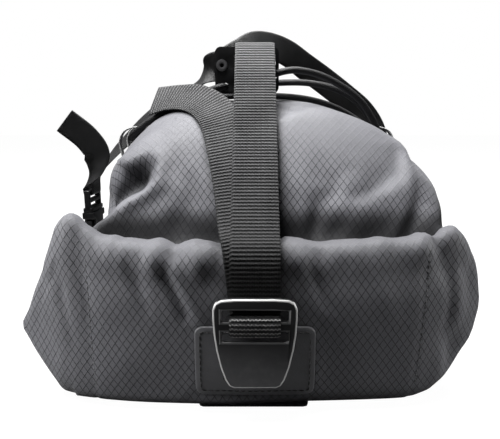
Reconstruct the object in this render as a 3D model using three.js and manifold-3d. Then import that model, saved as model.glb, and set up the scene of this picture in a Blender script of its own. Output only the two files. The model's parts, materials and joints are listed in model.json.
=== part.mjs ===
// Bikepacking saddle bag: a tapered fabric tube closed at the rear by a rolled mouth, a centre strap
// with a magnetic plate buckle, an elastic cord lacing over the top, two rail straps with side release
// buckles and two seatpost straps.
// Millimetres, +Z up from the plane the bag rests on, +Y forward to the seatpost, +X to the right
// seen from behind. Y is measured from the rear, and the whole group is then moved back.
import * as THREE from "three";
import { mergeVertices } from "three/addons/utils/BufferGeometryUtils.js";
import Module from "manifold-3d";

const wasm = await Module();
wasm.setup();

// ---------- driving dimensions ----------
const REAR_TO_ORIGIN = 180; // from the rear plane, y = 0, forward to the origin
const GAP = 0.35; // running gap between neighbouring pieces
const WALL = 2.4; // laminated fabric wall with its foam
const PANEL_T = 1.4; // coated reinforcement panels
const MAIN_WEBBING = { width: 25, thickness: 1.5 }; // compression strap
const RAIL_WEBBING = { width: 20, thickness: 1.4 }; // rail straps and buckle tabs
const LOOP_WEBBING = { width: 7, thickness: 1.2 };
const TAB_WEBBING = { width: 14, thickness: 1.3 };
const POST_WEBBING = { width: 22, thickness: 1.5 };
const CORD_RADIUS = 2.2;
const LOOP_Y = { rear: 111, middle: 134, front: 215 }; // cord loop stations
const RAIL_Y = 156; // station of the side buckles under the rail straps
const SIDES = { right: 1, left: -1 };
const BUCKLE_X = { right: 106.2, left: -128 }; // the left one hangs out on its slack tab
const BUCKLE_Z = 60; // bottom of the side buckles' sleeves
const LOCK = { y: 238, z: 147.9 }; // cord lock: centre and underside
const ALONG_X = [1, 0, 0];
const ALONG_Y = [0, 1, 0];
const ALONG_Z = [0, 0, 1];

// Moulded plate on top that the straps meet at. Holes are [x, z] from its centre.
const HUB = {
  x: -5.2, z: 184.8, width: 41, height: 29, yRear: 102.0, yFront: 105.9,
  slotTop: 9.6, // upper edge of the slot under the top bar
  rivetHole: [-16, 3], cordHoles: { left: [-14.5, -10.2], right: [17.0, -2.8] },
};
const onHub = ([x, z]) => [HUB.x + x, HUB.z + z];
const [RIVET_X, RIVET_Z] = onHub(HUB.rivetHole);

// ---------- materials and meshes ----------
const LOOKS = {
  fabric: { color: 0x55555a, roughness: 0.55 },
  panel: { color: 0x303033, roughness: 0.6 },
  webbing: { color: 0x2a2a2c, roughness: 0.85 },
  webbing_grey: { color: 0x8a8b8d, roughness: 0.85 },
  plastic: { color: 0x121214, roughness: 0.45 },
  buckle: { color: 0x26262a, roughness: 0.35, metalness: 0.8 },
  cord: { color: 0x1a1a1c, roughness: 0.7 },
  hook_loop: { color: 0x0c0c0d, roughness: 1 },
  sheet: { color: 0xe4e4e0, roughness: 0.5 },
  steel: { color: 0xb5b5b8, roughness: 0.3, metalness: 1 },
};
const materials = {};
for (const [name, look] of Object.entries(LOOKS)) {
  materials[name] = new THREE.MeshStandardMaterial(look);
}
const root = new THREE.Group();
root.position.set(0, -REAR_TO_ORIGIN, 0);

function add(name, geometry, material) {
  const mesh = new THREE.Mesh(geometry, materials[material]);
  mesh.name = name;
  root.add(mesh);
}

// ---------- general helpers ----------
const vec = (x, y, z) => new THREE.Vector3(x, y, z);
const times = (count, make) => Array.from({ length: count }, (_, i) => make(i));
const radians = THREE.MathUtils.degToRad;
const signedPower = (value, exponent) => Math.sign(value) * Math.abs(value) ** exponent;
// An angle in degrees up the right flank, or its mirror image on the left one.
const flankAngle = (sign, degrees) => (sign > 0 ? degrees : 180 - degrees);

// Row of a station table at a place in its first column, interpolated and held past the ends.
function rowAt(table, place) {
  if (place <= table[0][0]) return table[0];
  const next = table.findIndex((row) => place <= row[0]);
  if (next < 0) return table.at(-1);
  const from = table[next - 1], to = table[next];
  const t = (place - from[0]) / (to[0] - from[0]);
  return from.map((value, column) => value + t * (to[column] - value));
}

// ---------- mesh builders ----------
const quad = (a, b, c, d) => [a, b, c, a, c, d];

// Indexed geometry with its faces turned outward.
function closedMesh(points, faces) {
  let volume = 0;
  for (let i = 0; i < faces.length; i += 3) {
    const [a, b, c] = faces.slice(i, i + 3).map((k) => points[k]);
    volume += a.dot(b.clone().cross(c));
  }
  if (volume < 0) {
    for (let i = 0; i < faces.length; i += 3) {
      [faces[i + 1], faces[i + 2]] = [faces[i + 2], faces[i + 1]];
    }
  }
  const positions = points.flatMap((p) => p.toArray());
  const geometry = new THREE.BufferGeometry();
  geometry.setAttribute("position", new THREE.Float32BufferAttribute(positions, 3));
  geometry.setIndex(faces);
  return geometry;
}

// Skin over rings of equal length: joined end to end if endless, else capped by fans.
function loft(rings, endless = false) {
  const sides = rings[0].length, points = rings.flat(), faces = [];
  for (let i = 0; i < rings.length - (endless ? 0 : 1); i++) {
    const here = i * sides, there = ((i + 1) % rings.length) * sides;
    for (let j = 0; j < sides; j++) {
      const next = (j + 1) % sides;
      faces.push(...quad(here + j, here + next, there + next, there + j));
    }
  }
  if (endless) return closedMesh(points, faces);
  for (const k of [0, rings.length - 1]) {
    const middle = points.length;
    points.push(rings[k].reduce((sum, p) => sum.add(p), vec(0, 0, 0)).divideScalar(sides));
    for (let j = 0; j < sides; j++) {
      const a = k * sides + j, b = k * sides + ((j + 1) % sides);
      faces.push(middle, ...(k === 0 ? [b, a] : [a, b]));
    }
  }
  return closedMesh(points, faces);
}

// Closed sheet between two point grids of the same size.
function slab(gridA, gridB) {
  const rows = gridA.length, columns = gridA[0].length, faces = [];
  const id = (layer, i, j) => (layer * rows + i) * columns + j;
  for (let i = 0; i + 1 < rows; i++) {
    for (let j = 0; j + 1 < columns; j++) {
      faces.push(...quad(id(0, i, j), id(0, i, j + 1), id(0, i + 1, j + 1), id(0, i + 1, j)));
      faces.push(...quad(id(1, i, j), id(1, i + 1, j), id(1, i + 1, j + 1), id(1, i, j + 1)));
    }
  }
  const rim = [
    ...times(columns - 1, (j) => [0, j]),
    ...times(rows - 1, (i) => [i, columns - 1]),
    ...times(columns - 1, (j) => [rows - 1, columns - 1 - j]),
    ...times(rows - 1, (i) => [rows - 1 - i, 0]),
  ];
  rim.forEach((here, k) => {
    const next = rim[(k + 1) % rim.length];
    faces.push(...quad(id(0, ...here), id(1, ...here), id(1, ...next), id(0, ...next)));
  });
  return closedMesh([...gridA.flat(), ...gridB.flat()], faces);
}

// Strap stations from rows of x, y, z and, if the row has it, its own width direction x, y, z.
const stations = (rows, across) => rows.map(([x, y, z, ...own]) => ({
  at: vec(x, y, z), across: vec(...(own.length ? own : across)),
}));

// Smooth run of strap stations through the given ones.
function smooth(controls, steps) {
  const curve = (key) =>
    new THREE.CatmullRomCurve3(controls.map((c) => c[key]), false, "centripetal");
  const at = curve("at"), across = curve("across");
  return times(steps + 1, (i) => ({ at: at.getPoint(i / steps), across: across.getPoint(i / steps) }));
}

// Flat strap through its stations.
function ribbon(path, { width, thickness }) {
  const legs = path.slice(1).map(({ at }, i) => at.clone().sub(path[i].at).normalize());
  return loft(path.map(({ at, across }, i) => {
    const before = legs[i - 1], after = legs[i], tangent = vec(0, 0, 0);
    if (before) tangent.add(before);
    if (after) tangent.add(after);
    tangent.normalize();
    const side = across.clone().addScaledVector(tangent, -across.dot(tangent)).normalize();
    const normal = tangent.clone().cross(side).normalize();
    // mitre, so that the strap keeps its thickness round a bend
    const bend = before && after ? Math.sqrt((1 + before.dot(after)) / 2) : 1;
    const halfWidth = width / 2, halfThick = thickness / 2 / Math.max(0.6, bend);
    return [[-1, -1], [1, -1], [1, 1], [-1, 1]].map(([a, b]) =>
      at.clone().addScaledVector(side, a * halfWidth).addScaledVector(normal, b * halfThick));
  }));
}

// Round bar through centres with their tangents; an endless one is twisted evenly to meet itself.
function roundBar(centres, tangents, radius, sides, endless = false) {
  let normal = vec(0, 0, 1);
  const square = (v, tangent) =>
    v.clone().addScaledVector(tangent, -v.dot(tangent)).normalize();
  const normals = tangents.map((tangent) => (normal = square(normal, tangent)));
  let twist = 0;
  if (endless) {
    const back = square(normal, tangents[0]);
    twist = Math.atan2(back.clone().cross(normals[0]).dot(tangents[0]), back.dot(normals[0]));
  }
  const rings = centres.map((centre, i) => {
    const binormal = tangents[i].clone().cross(normals[i]);
    return times(sides, (j) => {
      const angle = (twist * i) / centres.length + (2 * Math.PI * j) / sides;
      return centre.clone().addScaledVector(normals[i], radius * Math.cos(angle))
        .addScaledVector(binormal, radius * Math.sin(angle));
    });
  });
  return loft(rings, endless);
}

// ---------- solids for boolean work ----------
function solid(geometry) {
  const loose = geometry.index ? geometry.toNonIndexed() : geometry;
  const bare = new THREE.BufferGeometry().setAttribute("position", loose.getAttribute("position"));
  const merged = mergeVertices(bare, 1e-4);
  return new wasm.Manifold(new wasm.Mesh({
    numProp: 3,
    vertProperties: new Float32Array(merged.attributes.position.array),
    triVerts: new Uint32Array(merged.index.array),
  }));
}
function geometryOf(body) {
  const mesh = body.getMesh(), geometry = new THREE.BufferGeometry();
  const positions = new Float32Array(mesh.vertProperties);
  geometry.setAttribute("position", new THREE.BufferAttribute(positions, 3));
  geometry.setIndex(new THREE.BufferAttribute(new Uint32Array(mesh.triVerts), 1));
  return geometry;
}
const box = (x0, x1, y0, y1, z0, z1) => new THREE.BoxGeometry(x1 - x0, y1 - y0, z1 - z0)
  .translate((x0 + x1) / 2, (y0 + y1) / 2, (z0 + z1) / 2);
const solidBox = (...limits) => solid(box(...limits));
// Cylinder along Y from y0 to y1.
const cylinderY = (radius, x, z, y0, y1, segments) =>
  new THREE.CylinderGeometry(radius, radius, y1 - y0, segments).translate(x, (y0 + y1) / 2, z);

// ---------- flat outlines and plates ----------
const outline = (points) => points.map(([x, y]) => new THREE.Vector2(x, y));
function roundedRect(width, height, r) {
  const x = width / 2, y = height / 2, quarter = Math.PI / 2;
  return new THREE.Shape()
    .moveTo(r - x, -y)
    .lineTo(x - r, -y).absarc(x - r, r - y, r, -quarter, 0)
    .lineTo(x, y - r).absarc(x - r, y - r, r, 0, quarter)
    .lineTo(r - x, y).absarc(r - x, y - r, r, quarter, 2 * quarter)
    .lineTo(-x, r - y).absarc(r - x, r - y, r, 2 * quarter, 3 * quarter);
}
const rectHole = (x0, x1, z0, z1) =>
  new THREE.Path(outline([[x0, z0], [x0, z1], [x1, z1], [x1, z0]]));
const roundHole = ([x, z], radius) => new THREE.Path().absarc(x, z, radius, 0, 2 * Math.PI, true);
const extrude = (shape, depth, curveSegments) =>
  new THREE.ExtrudeGeometry(shape, { depth, bevelEnabled: false, curveSegments });
// Shape drawn in X and Z, extruded from y0 to y1.
const plateXZ = (shape, y0, y1, segments = 6) =>
  extrude(shape, y1 - y0, segments).rotateX(Math.PI / 2).translate(0, y1, 0);

// ---------- main compartment ----------
// y, half width right and left, shoulder squareness right and left, bottom z, top z
const BODY = [
  [41.2, 106, 95, 5.5, 4, 5, 84],
  [46, 112, 99, 5.5, 4, 3.2, 106],
  [55, 111.5, 98.5, 5, 3.8, 2.8, 127],
  [65, 110, 97, 4.6, 3.3, 2.8, 144],
  [78, 106, 95, 3.8, 2.7, 2.8, 157],
  [95, 98, 95, 2.9, 2.8, 2.8, 163.5],
  [125, 97, 96, 2.9, 2.9, 2.8, 165],
  [160, 95, 95, 2.9, 2.9, 2.8, 162],
  [200, 88, 88, 2.9, 2.9, 2.8, 154],
  [240, 74, 74, 2.9, 2.9, 6, 143],
  [280, 56, 56, 2.9, 2.9, 14, 130],
  [315, 42, 42, 2.9, 2.9, 25, 118],
  [335, 34, 34, 2.9, 2.9, 32, 110],
];
const BODY_Y = BODY.map(([y]) => y);
const BODY_REAR = BODY_Y[0], BODY_NOSE = BODY_Y.at(-1);
const BELLY_SQUARENESS = 3.6;
const WIDEST_AT = 0.42; // share of the height at which the section is widest
const BODY_SIDES = 36;

// Point on the skin: degrees run from the right flank over the top. Past the nose the section holds.
function bodyPoint(y, degrees, offset = 0) {
  const [, right, left, squareRight, squareLeft, zBottom, zTop] = rowAt(BODY, y);
  const c = Math.cos(radians(degrees)), s = Math.sin(radians(degrees));
  const bottom = zBottom - offset, top = zTop + offset;
  const zWidest = bottom + WIDEST_AT * (top - bottom);
  const halfWidth = (c >= 0 ? right : left) + offset;
  const shoulder = c >= 0 ? squareRight : squareLeft;
  const exponent = 2 / (s >= 0 ? shoulder : BELLY_SQUARENESS);
  const reach = s >= 0 ? top - zWidest : zWidest - bottom;
  return vec(halfWidth * signedPower(c, exponent), y, zWidest + reach * signedPower(s, exponent));
}
const bodyTop = (y) => rowAt(BODY, y)[6];
const bodyRing = (y, offset) =>
  times(BODY_SIDES, (j) => bodyPoint(y, (360 * j) / BODY_SIDES, offset));
const bodySolid = (ys, offset) => solid(loft(ys.map((y) => bodyRing(y, offset))));

function mainBody() {
  const innerY = [BODY_REAR + WALL, ...BODY_Y.slice(1, -1), BODY_NOSE - WALL];
  const mouth = solidBox(-78, 78, 38, 48, 24, 72); // open rear mouth, in front of the roll
  return geometryOf(bodySolid(BODY_Y, 0).subtract(bodySolid(innerY, -WALL)).subtract(mouth));
}
add("main_body", mainBody(), "fabric");

// ---------- rolled mouth ----------
// x, low z, high z, y of the rear face, thickness
const ROLL = [
  [-131, 36.5, 42.5, 35.5, 4],
  [-126, 28, 51, 33, 6.5],
  [-120, 19, 64.5, 30, 9],
  [-113, 9.5, 80, 26.5, 12.5],
  [-107, 3.4, 93.5, 23, 16.5],
  [-103, 3, 102, 21, 18.5],
  [-98, 2.9, 104.5, 19, 20],
  [-88, 2.8, 99.5, 16.5, 22],
  [-80, 2.8, 94, 14.5, 24],
  [-65, 2.8, 91.5, 12, 26.5],
  [-50, 2.8, 91, 10.5, 28],
  [0, 2.8, 91.5, 9, 28],
  [50, 2.8, 92.5, 10.5, 28],
  [80, 2.8, 93.5, 13.5, 25],
  [95, 5, 96, 18.5, 20.5],
  [105, 10, 96.5, 23, 16],
  [112, 16, 91.5, 27, 12.5],
  [118, 26, 83, 30.5, 9],
  [122, 34, 74, 33, 6.5],
  [125, 48, 58, 35, 4],
];
const ROLL_SQUARENESS = 3.4;
const ROLL_SIDES = 24;

function rollRing([x, low, high, rear, thickness]) {
  return times(ROLL_SIDES, (j) => {
    const angle = (2 * Math.PI * j) / ROLL_SIDES, exponent = 2 / ROLL_SQUARENESS;
    const y = rear + (thickness / 2) * (1 + signedPower(Math.cos(angle), exponent));
    const z = (low + high) / 2 + ((high - low) / 2) * signedPower(Math.sin(angle), exponent);
    return vec(x, y, z);
  });
}
// Point off the roll's rear face at x and z.
function rollFace(x, z, offset) {
  const [, low, high, rear, thickness] = rowAt(ROLL, x);
  const height = Math.min(1, Math.abs((z - (low + high) / 2) / ((high - low) / 2)));
  const bulge = (1 - height ** ROLL_SQUARENESS) ** (1 / ROLL_SQUARENESS);
  return vec(x, rear + (thickness / 2) * (1 - bulge) - offset, z);
}
const hemTunnel = solidBox(-101, 140, 29.6, 32.4, 38, 58); // open at its right end
add("closure_roll", geometryOf(solid(loft(ROLL.map(rollRing))).subtract(hemTunnel)), "fabric");
add("closure_stiffener", box(-100.5, 104, 30, 32, 38.4, 57.6), "sheet");

// ---------- reinforcement panels and sheets ----------
const BASE_Y = 128; // centre of the base panel and its stiffener
add("base_panel", extrude(roundedRect(118, 152, 14), 2.4, 5).translate(0, BASE_Y, 0), "panel");
add("base_stiffener", extrude(roundedRect(84, 150, 10), 1.2, 4).translate(0, BASE_Y, 7), "sheet");

// Thin panel that follows the skin of one flank.
function flankPanel(sign) {
  const span = { y0: 125, y1: 195, low: -40, high: 20 }, steps = 6;
  const grid = (offset) => times(steps + 1, (i) => times(steps + 1, (j) => {
    const y = span.y0 + ((span.y1 - span.y0) * i) / steps;
    const degrees = span.low + ((span.high - span.low) * j) / steps;
    return bodyPoint(y, flankAngle(sign, degrees), offset);
  }));
  return slab(grid(GAP), grid(GAP + PANEL_T));
}
for (const [side, sign] of Object.entries(SIDES)) {
  add("flank_panel_" + side, flankPanel(sign), "panel");
}

// Covers the flat nose, with a rim that follows the skin.
function nosePanel() {
  const outer = GAP + PANEL_T, edgeInset = 0.6;
  const rings = [[322, outer], [328, outer], [335.4, outer], [337, outer - edgeInset]];
  const cap = solid(loft(rings.map(([y, offset]) => bodyRing(y, offset))));
  return geometryOf(cap.subtract(bodySolid([318, 328, BODY_NOSE + GAP], GAP)));
}
add("nose_panel", nosePanel(), "panel");
const noseSheet = plateXZ(roundedRect(44, 50, 8), 329.7, 330.9, 4).translate(0, 0, 72);
add("nose_stiffener", noseSheet, "sheet");

// Stitched patch with rounded corners on the roll's rear face.
function hookPatch() {
  const width = 62, z0 = 11.5, z1 = 50.5, corner = 8, rows = 10, columns = 8;
  const cornerShare = 0.98; // part of the full corner rounding that is taken off the width
  const grid = (offset) => times(rows + 1, (i) => {
    const z = z0 + ((z1 - z0) * i) / rows, edge = Math.min(z - z0, z1 - z);
    const cut = edge < corner ? corner - Math.sqrt(corner ** 2 - (corner - edge) ** 2) : 0;
    const half = width / 2 - cut * cornerShare;
    return times(columns + 1, (j) => rollFace(((2 * j) / columns - 1) * half, z, offset));
  });
  return slab(grid(GAP + 0.05), grid(GAP + 1.35));
}
add("hook_patch", hookPatch(), "panel");
add("grip_strip", box(-30.5, 29, 17, 46, 0, 2.35), "hook_loop");

// ---------- plate buckle, its catch and the magnets ----------
const PLATE = { rear: 0.4, front: 3.4 }; // faces of the buckle plate
const MAGNET_Z = 31.5;
// x, z of the right half, from the bottom up
const BUCKLE_OUTLINE = [
  [10.5, 20.9], [13, 22], [15, 25.5], [17.2, 32], [19.2, 41], [20.3, 49],
  [20.8, 57], [20.8, 62.5], [19.6, 65.8], [16.6, 67.4], [10, 67.9],
];
function hookBuckle() {
  const mirrored = BUCKLE_OUTLINE.map(([x, z]) => [-x, z]).reverse();
  const shape = new THREE.Shape(outline([mirrored.at(-1), ...BUCKLE_OUTLINE, ...mirrored]));
  const slot = (z0, z1) => rectHole(-16.6, 16.6, z0, z1);
  shape.holes.push(slot(56.2, 62.1), slot(45.8, 51.2));
  const boss = solid(cylinderY(7.2, 0, MAGNET_Z, PLATE.front - 0.5, 4.9, 28));
  const pocket = solid(cylinderY(5.3, 0, MAGNET_Z, 3.5, 6, 28));
  return geometryOf(solid(plateXZ(shape, PLATE.rear, PLATE.front)).add(boss).subtract(pocket));
}
// Block whose pocket takes the boss and is open upward.
function hookCatch() {
  const r = 7.8, y0 = 3.8, y1 = 6.2;
  const block = solid(plateXZ(roundedRect(25, 20, 4), 4.25, 7.0).translate(0, 0, MAGNET_Z));
  return geometryOf(block.subtract(solid(cylinderY(r, 0, MAGNET_Z, y0, y1, 28)))
    .subtract(solidBox(-r, r, y0, y1, MAGNET_Z, 45)));
}
add("hook_buckle", hookBuckle(), "buckle");
add("hook_magnet", cylinderY(5.0, 0, MAGNET_Z, 3.75, 4.85, 24), "steel");
add("hook_catch", hookCatch(), "plastic");
add("catch_magnet", cylinderY(5.5, 0, MAGNET_Z, 5.2, 5.9, 24), "steel");

// ---------- compression strap ----------
// Sewn round the hub's top bar, down over the roll, through the buckle, back up as a free tail.
function compressionStrap() {
  const bar = {
    y: (HUB.yRear + HUB.yFront) / 2,
    z: HUB.z + (HUB.slotTop + HUB.height / 2) / 2,
    wrapRadius: 4.45,
  };
  const wrap = [262, 290, 320, 350, 20, 50, 80, 110, 141].map((degrees) => [
    bar.y + bar.wrapRadius * Math.cos(radians(degrees)),
    bar.z + bar.wrapRadius * Math.sin(radians(degrees)),
  ]);
  // y, z in the centre plane
  const central = [
    [91.2, 185.6], [96.4, 190.6], ...wrap,
    [78, 171.5], [55, 143.1], [30, 112.4], [16.5, 97.4], [9.5, 91.4], [6.0, 85], [4.75, 76],
    [4.5, 66], [4.45, 62.5], [3.8, 60.4], [2.5, 59.1], [0.9, 58.6], [-0.75, 57.5], [-1.15, 55.6],
    [-1.15, 51.9], [-0.7, 50.1], [1.0, 48.8], [4.2, 48.3], [5.7, 48.9], [6.3, 50.8],
  ].map(([y, z]) => [0, y, z]);
  const tailStart = [-4.4, 12.5, 93.2];
  const rising = [
    [-0.4, 6.5, 60], [-1.2, 6.7, 70], [-2.2, 7.2, 80], [-3.2, 8.6, 87], tailStart,
  ];
  const tail = smooth(stations([
    tailStart,
    [-6.5, 21, 100],
    [-10, 38, 118.5, 1, 0.02, 0.05],
    [-15, 55, 138.8, 1, 0.05, 0.1],
    [-20.5, 69, 153.4, 1, 0.12, 0.16],
    [-29, 81, 162.6, 0.85, 0.34, 0.4],
    [-40.5, 90.5, 167.4, 0.55, 0.55, 0.62],
    [-53, 98, 167.6, 0.3, 0.68, 0.66],
    [-66, 104, 165.6, 0.05, 0.7, 0.72],
  ], ALONG_X), 22);
  const run = stations([...central, ...rising], ALONG_X);
  return ribbon([...run, ...tail.slice(1)], MAIN_WEBBING);
}
add("compression_strap", compressionStrap(), "webbing");

// ---------- strap hub, its rivet and its sewn tab ----------
function strapHub() {
  const shape = roundedRect(HUB.width, HUB.height, 4);
  shape.holes.push(
    rectHole(-8.3, 18.5, 3.3, HUB.slotTop), // under the top bar, for the compression strap
    rectHole(-3.2, 13.2, -11.6, -6.6), // over the bottom bar, for the sewn tab
    roundHole(HUB.rivetHole, 2.6),
    roundHole(HUB.cordHoles.left, 2.75),
    roundHole(HUB.cordHoles.right, 2.75),
  );
  return plateXZ(shape, HUB.yRear, HUB.yFront, 8).translate(HUB.x, 0, HUB.z);
}
// Hollow barrel through the plate and both rail straps, with a flange at each end.
function hubRivet() {
  // radius, y from the rivet's own zero
  const profile = [
    [1.3, -3.95], [3.7, -3.95], [3.7, -3.5], [2.25, -3.5], [2.25, 5.1],
    [3.9, 5.1], [3.9, 5.7], [1.3, 5.7], [1.3, -3.95],
  ];
  return new THREE.LatheGeometry(outline(profile), 20).translate(RIVET_X, 105.25, RIVET_Z);
}
function hubTab() {
  const skin = (y) => bodyTop(y) + 1.15;
  // y, z
  const path = [
    [86, skin(86)], [94, skin(94) + 0.1], [98.2, 166], [99.9, 170.5], [101.4, 174.2],
    [103.95, 175.5], [106.6, 174.2], [107.4, 171], [108.6, 167.6], [111, 165.9],
    [117, skin(117) + 0.15],
  ];
  return ribbon(stations(path.map(([y, z]) => [0, y, z]), ALONG_X), TAB_WEBBING);
}
add("strap_hub", strapHub(), "plastic");
add("hub_rivet", hubRivet(), "steel");
add("hub_tab", hubTab(), "webbing");

// ---------- rail straps ----------
// From the rivet, over the saddle rail, down the flank, round the male buckle's bar, out as a tail.
// Rows are x, y, z and the width direction, which is along Y where left out.
const RAIL_STRAPS = {
  right: {
    run: [
      [-26.6, 108.85, 185.2, -0.45, 0, 0.88],
      [-21.2, 108.85, 187.9, -0.45, 0, 0.88],
      [-14.5, 110.45, 193.2, -0.5, 0, 0.86],
      [-8, 114.5, 199, -0.4, 0.15, 0.88],
      [-0.7, 118.5, 203.4, -0.25, 0.25, 0.9],
      [10.4, 126, 203.2, 0, 0.35, 0.9],
      [23.2, 134, 199.3, 0.3, 0.35, 0.88],
      [36, 141, 191.3, 0.48, 0.3, 0.82],
      [51, 147.5, 182, 0.58, 0.25, 0.77],
      [67.5, 152, 170.5, 0.62, 0.2, 0.74],
      [82, 156, 159.5, 0.68, 0.25, 0.66],
      [94.5, 158, 145.5, 0.72, 0.6, 0.35],
      [102.5, RAIL_Y, 127, 0.3, 1, 0.1],
      [102.7, RAIL_Y, 110],
      [102.9, RAIL_Y, 99.2],
    ],
    tail: [
      [109.5, RAIL_Y, 99.2],
      [109.2, RAIL_Y, 114],
      [108.2, RAIL_Y + 0.5, 128, 0.3, 1, 0.1],
      [103.6, 158.5, 144, 0.6, 0.75, 0.25],
      [96.5, 159.5, 156, 0.75, 0.5, 0.5],
    ],
    tailSteps: 14,
  },
  left: {
    run: [
      [-14.6, 107.0, 189.2, 0.2, 0, 1],
      [-21.2, 107.0, 187.8, 0.2, 0, 1],
      [-26.4, 107.1, 186.6, 0.2, 0, 1],
      [-31.4, 107.4, 185.2, 0.2, 0, 1],
      [-38, 110.5, 181.6, 0.1, 0.5, 0.85],
      [-46, 117, 177, 0, 0.92, 0.4],
      [-57, 131, 172.6, -0.2, 0.95, 0.2],
      [-77, 150, 159, -0.3, 0.92, 0.2],
      [-94.5, 159.5, 143.5, -0.5, 0.82, 0.2],
      [-108, 161, 131, -0.5, 0.85, 0.1],
      [-119, 158.5, 117, -0.3, 0.95, 0.05],
      [-124.4, 156.3, 106.5],
      [-124.7, RAIL_Y, 99.2],
    ],
    tail: [
      [-131.3, RAIL_Y, 99.2],
      [-131.9, RAIL_Y, 103.5],
      [-131.3, 154.6, 107.8, -0.35, 0.94, 0],
      [-128.6, 152.8, 113, -0.8, 0.55, 0],
      [-124, 151, 119.5, -0.97, 0.2, -0.1],
      [-119.5, 150, 129, -0.92, 0.05, -0.38],
      [-126, 149.2, 140, -0.72, 0, -0.69],
      [-143, 149, 153.5, -0.6, 0, -0.8],
    ],
    tailSteps: 20,
  },
};
// Distance outward from the buckle's centre plane and z, round the underside of the bar
const BAR_TURN = [[-3.0, 97.9], [-1.8, 97.4], [0, 97.3], [1.8, 97.4], [3.0, 97.9]];

function railStrap(side) {
  const { run, tail, tailSteps } = RAIL_STRAPS[side];
  const turn = BAR_TURN.map(([out, z]) => [BUCKLE_X[side] + SIDES[side] * out, RAIL_Y, z]);
  const strap = ribbon([
    ...smooth(stations(run, ALONG_Y), 30),
    ...stations(turn, ALONG_Y),
    ...smooth(stations(tail, ALONG_Y), tailSteps),
  ], RAIL_WEBBING);
  const rivetHole = solid(cylinderY(2.7, RIVET_X, RIVET_Z, 100, 112, 20));
  return geometryOf(solid(strap).subtract(rivetHole));
}
for (const side of Object.keys(SIDES)) add("rail_strap_" + side, railStrap(side), "webbing");

// ---------- side release buckles on the flanks ----------
// Each part stands upright in the Y-Z plane, centred on x = y = 0, sleeve bottom at z = 0.

// A flat sleeve open at the top, with side windows and a lower webbing bar.
const buckleFemale = () => solidBox(-4.4, 4.4, -13.4, 13.4, 0, 24)
  .subtract(solidBox(-2.75, 2.75, -11.4, 11.4, 2, 30))
  .subtract(solidBox(-6, 6, -20, -9.2, 8.6, 19))
  .subtract(solidBox(-6, 6, 9.2, 20, 8.6, 19))
  .add(solidBox(-1.6, 1.6, -13.4, -11, -6.6, 0.5))
  .add(solidBox(-1.6, 1.6, 11, 13.4, -6.6, 0.5))
  .add(solidBox(-1.6, 1.6, -13.4, 13.4, -9, -6.2));
// A webbing frame above the sleeve, with a centre tongue inside it.
const buckleMale = () => solidBox(-3.4, 3.4, -13.4, 13.4, 24.5, 27.5)
  .add(solidBox(-2.2, 2.2, -13.4, -10.8, 27, 41))
  .add(solidBox(-2.2, 2.2, 10.8, 13.4, 27, 41))
  .add(solidBox(-2.2, 2.2, -13.4, 13.4, 38.6, 41))
  .add(solidBox(-2.2, 2.2, -12, 12, 31.6, 34))
  .add(solidBox(-1.7, 1.7, -2.0, 2.0, 6.4, 25))
  .add(solidBox(-1.7, 1.7, -7, 7, 23.4, 25));
// The front spring prong, with its thumb pad in the window.
const bucklePronge = () => solidBox(-2.3, 2.3, 5.0, 7.3, 9, 23.0)
  .add(solidBox(-2.3, 2.3, 5.6, 13.2, 9, 17.6));

// Sewn webbing that holds the sleeve's lower bar: distance out from the centre plane, z
const BUCKLE_TABS = {
  right: [
    [95.9, 30], [99.3, 42], [101.6, 48.5], [102.9, 52.5], [103.1, 55.9], [104.3, 57.3],
    [106.2, 57.6], [108.1, 57.3], [109.3, 55.9], [109.2, 50.5], [106.6, 44.6], [102.6, 38.5],
    [101.4, 35.5],
  ],
  left: [
    [95.9, 30], [101, 38], [111, 46.5], [120, 51.5], [124.2, 54.2], [124.9, 55.9],
    [126.1, 57.3], [128, 57.6], [129.9, 57.3], [131.1, 55.9], [131, 50], [127.5, 45.5],
    [117, 40.5], [106, 33], [101.4, 29.5],
  ],
};
for (const [side, sign] of Object.entries(SIDES)) {
  const addPart = (name, part) =>
    add(name + side, geometryOf(part).translate(BUCKLE_X[side], RAIL_Y, BUCKLE_Z), "plastic");
  addPart("side_buckle_female_", buckleFemale());
  addPart("side_buckle_male_", buckleMale());
  addPart("buckle_prong_front_", bucklePronge());
  addPart("buckle_prong_rear_", bucklePronge().mirror([0, 1, 0]));
  const tab = BUCKLE_TABS[side].map(([out, z]) => [sign * out, RAIL_Y, z]);
  add("buckle_tab_" + side, ribbon(stations(tab, ALONG_Y), RAIL_WEBBING), "webbing");
}

// ---------- cord loops ----------
const LOOP_ANGLE = 38; // degrees up the flank
// Degrees from the loop's middle and height off the skin: sewn down at both ends, arched between
const LOOP_ARCH = [
  [-17, 1.3], [-10.5, 1.6], [-7.5, 5], [-3.5, 9.2], [1.5, 10], [6.5, 6.5], [9.5, 1.6], [15, 1.3],
];
function cordLoop(y, sign) {
  const half = LOOP_WEBBING.width / 2;
  const path = LOOP_ARCH.map(([turn, offset]) => {
    const degrees = flankAngle(sign, LOOP_ANGLE + turn);
    const across = bodyPoint(y + half, degrees).sub(bodyPoint(y - half, degrees));
    return { at: bodyPoint(y, degrees, offset), across };
  });
  return ribbon(smooth(path, 14), LOOP_WEBBING);
}
for (const [side, sign] of Object.entries(SIDES)) {
  for (const [place, y] of Object.entries(LOOP_Y)) {
    add(`cord_loop_${place}_${side}`, cordLoop(y, sign), "webbing_grey");
  }
}

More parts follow.
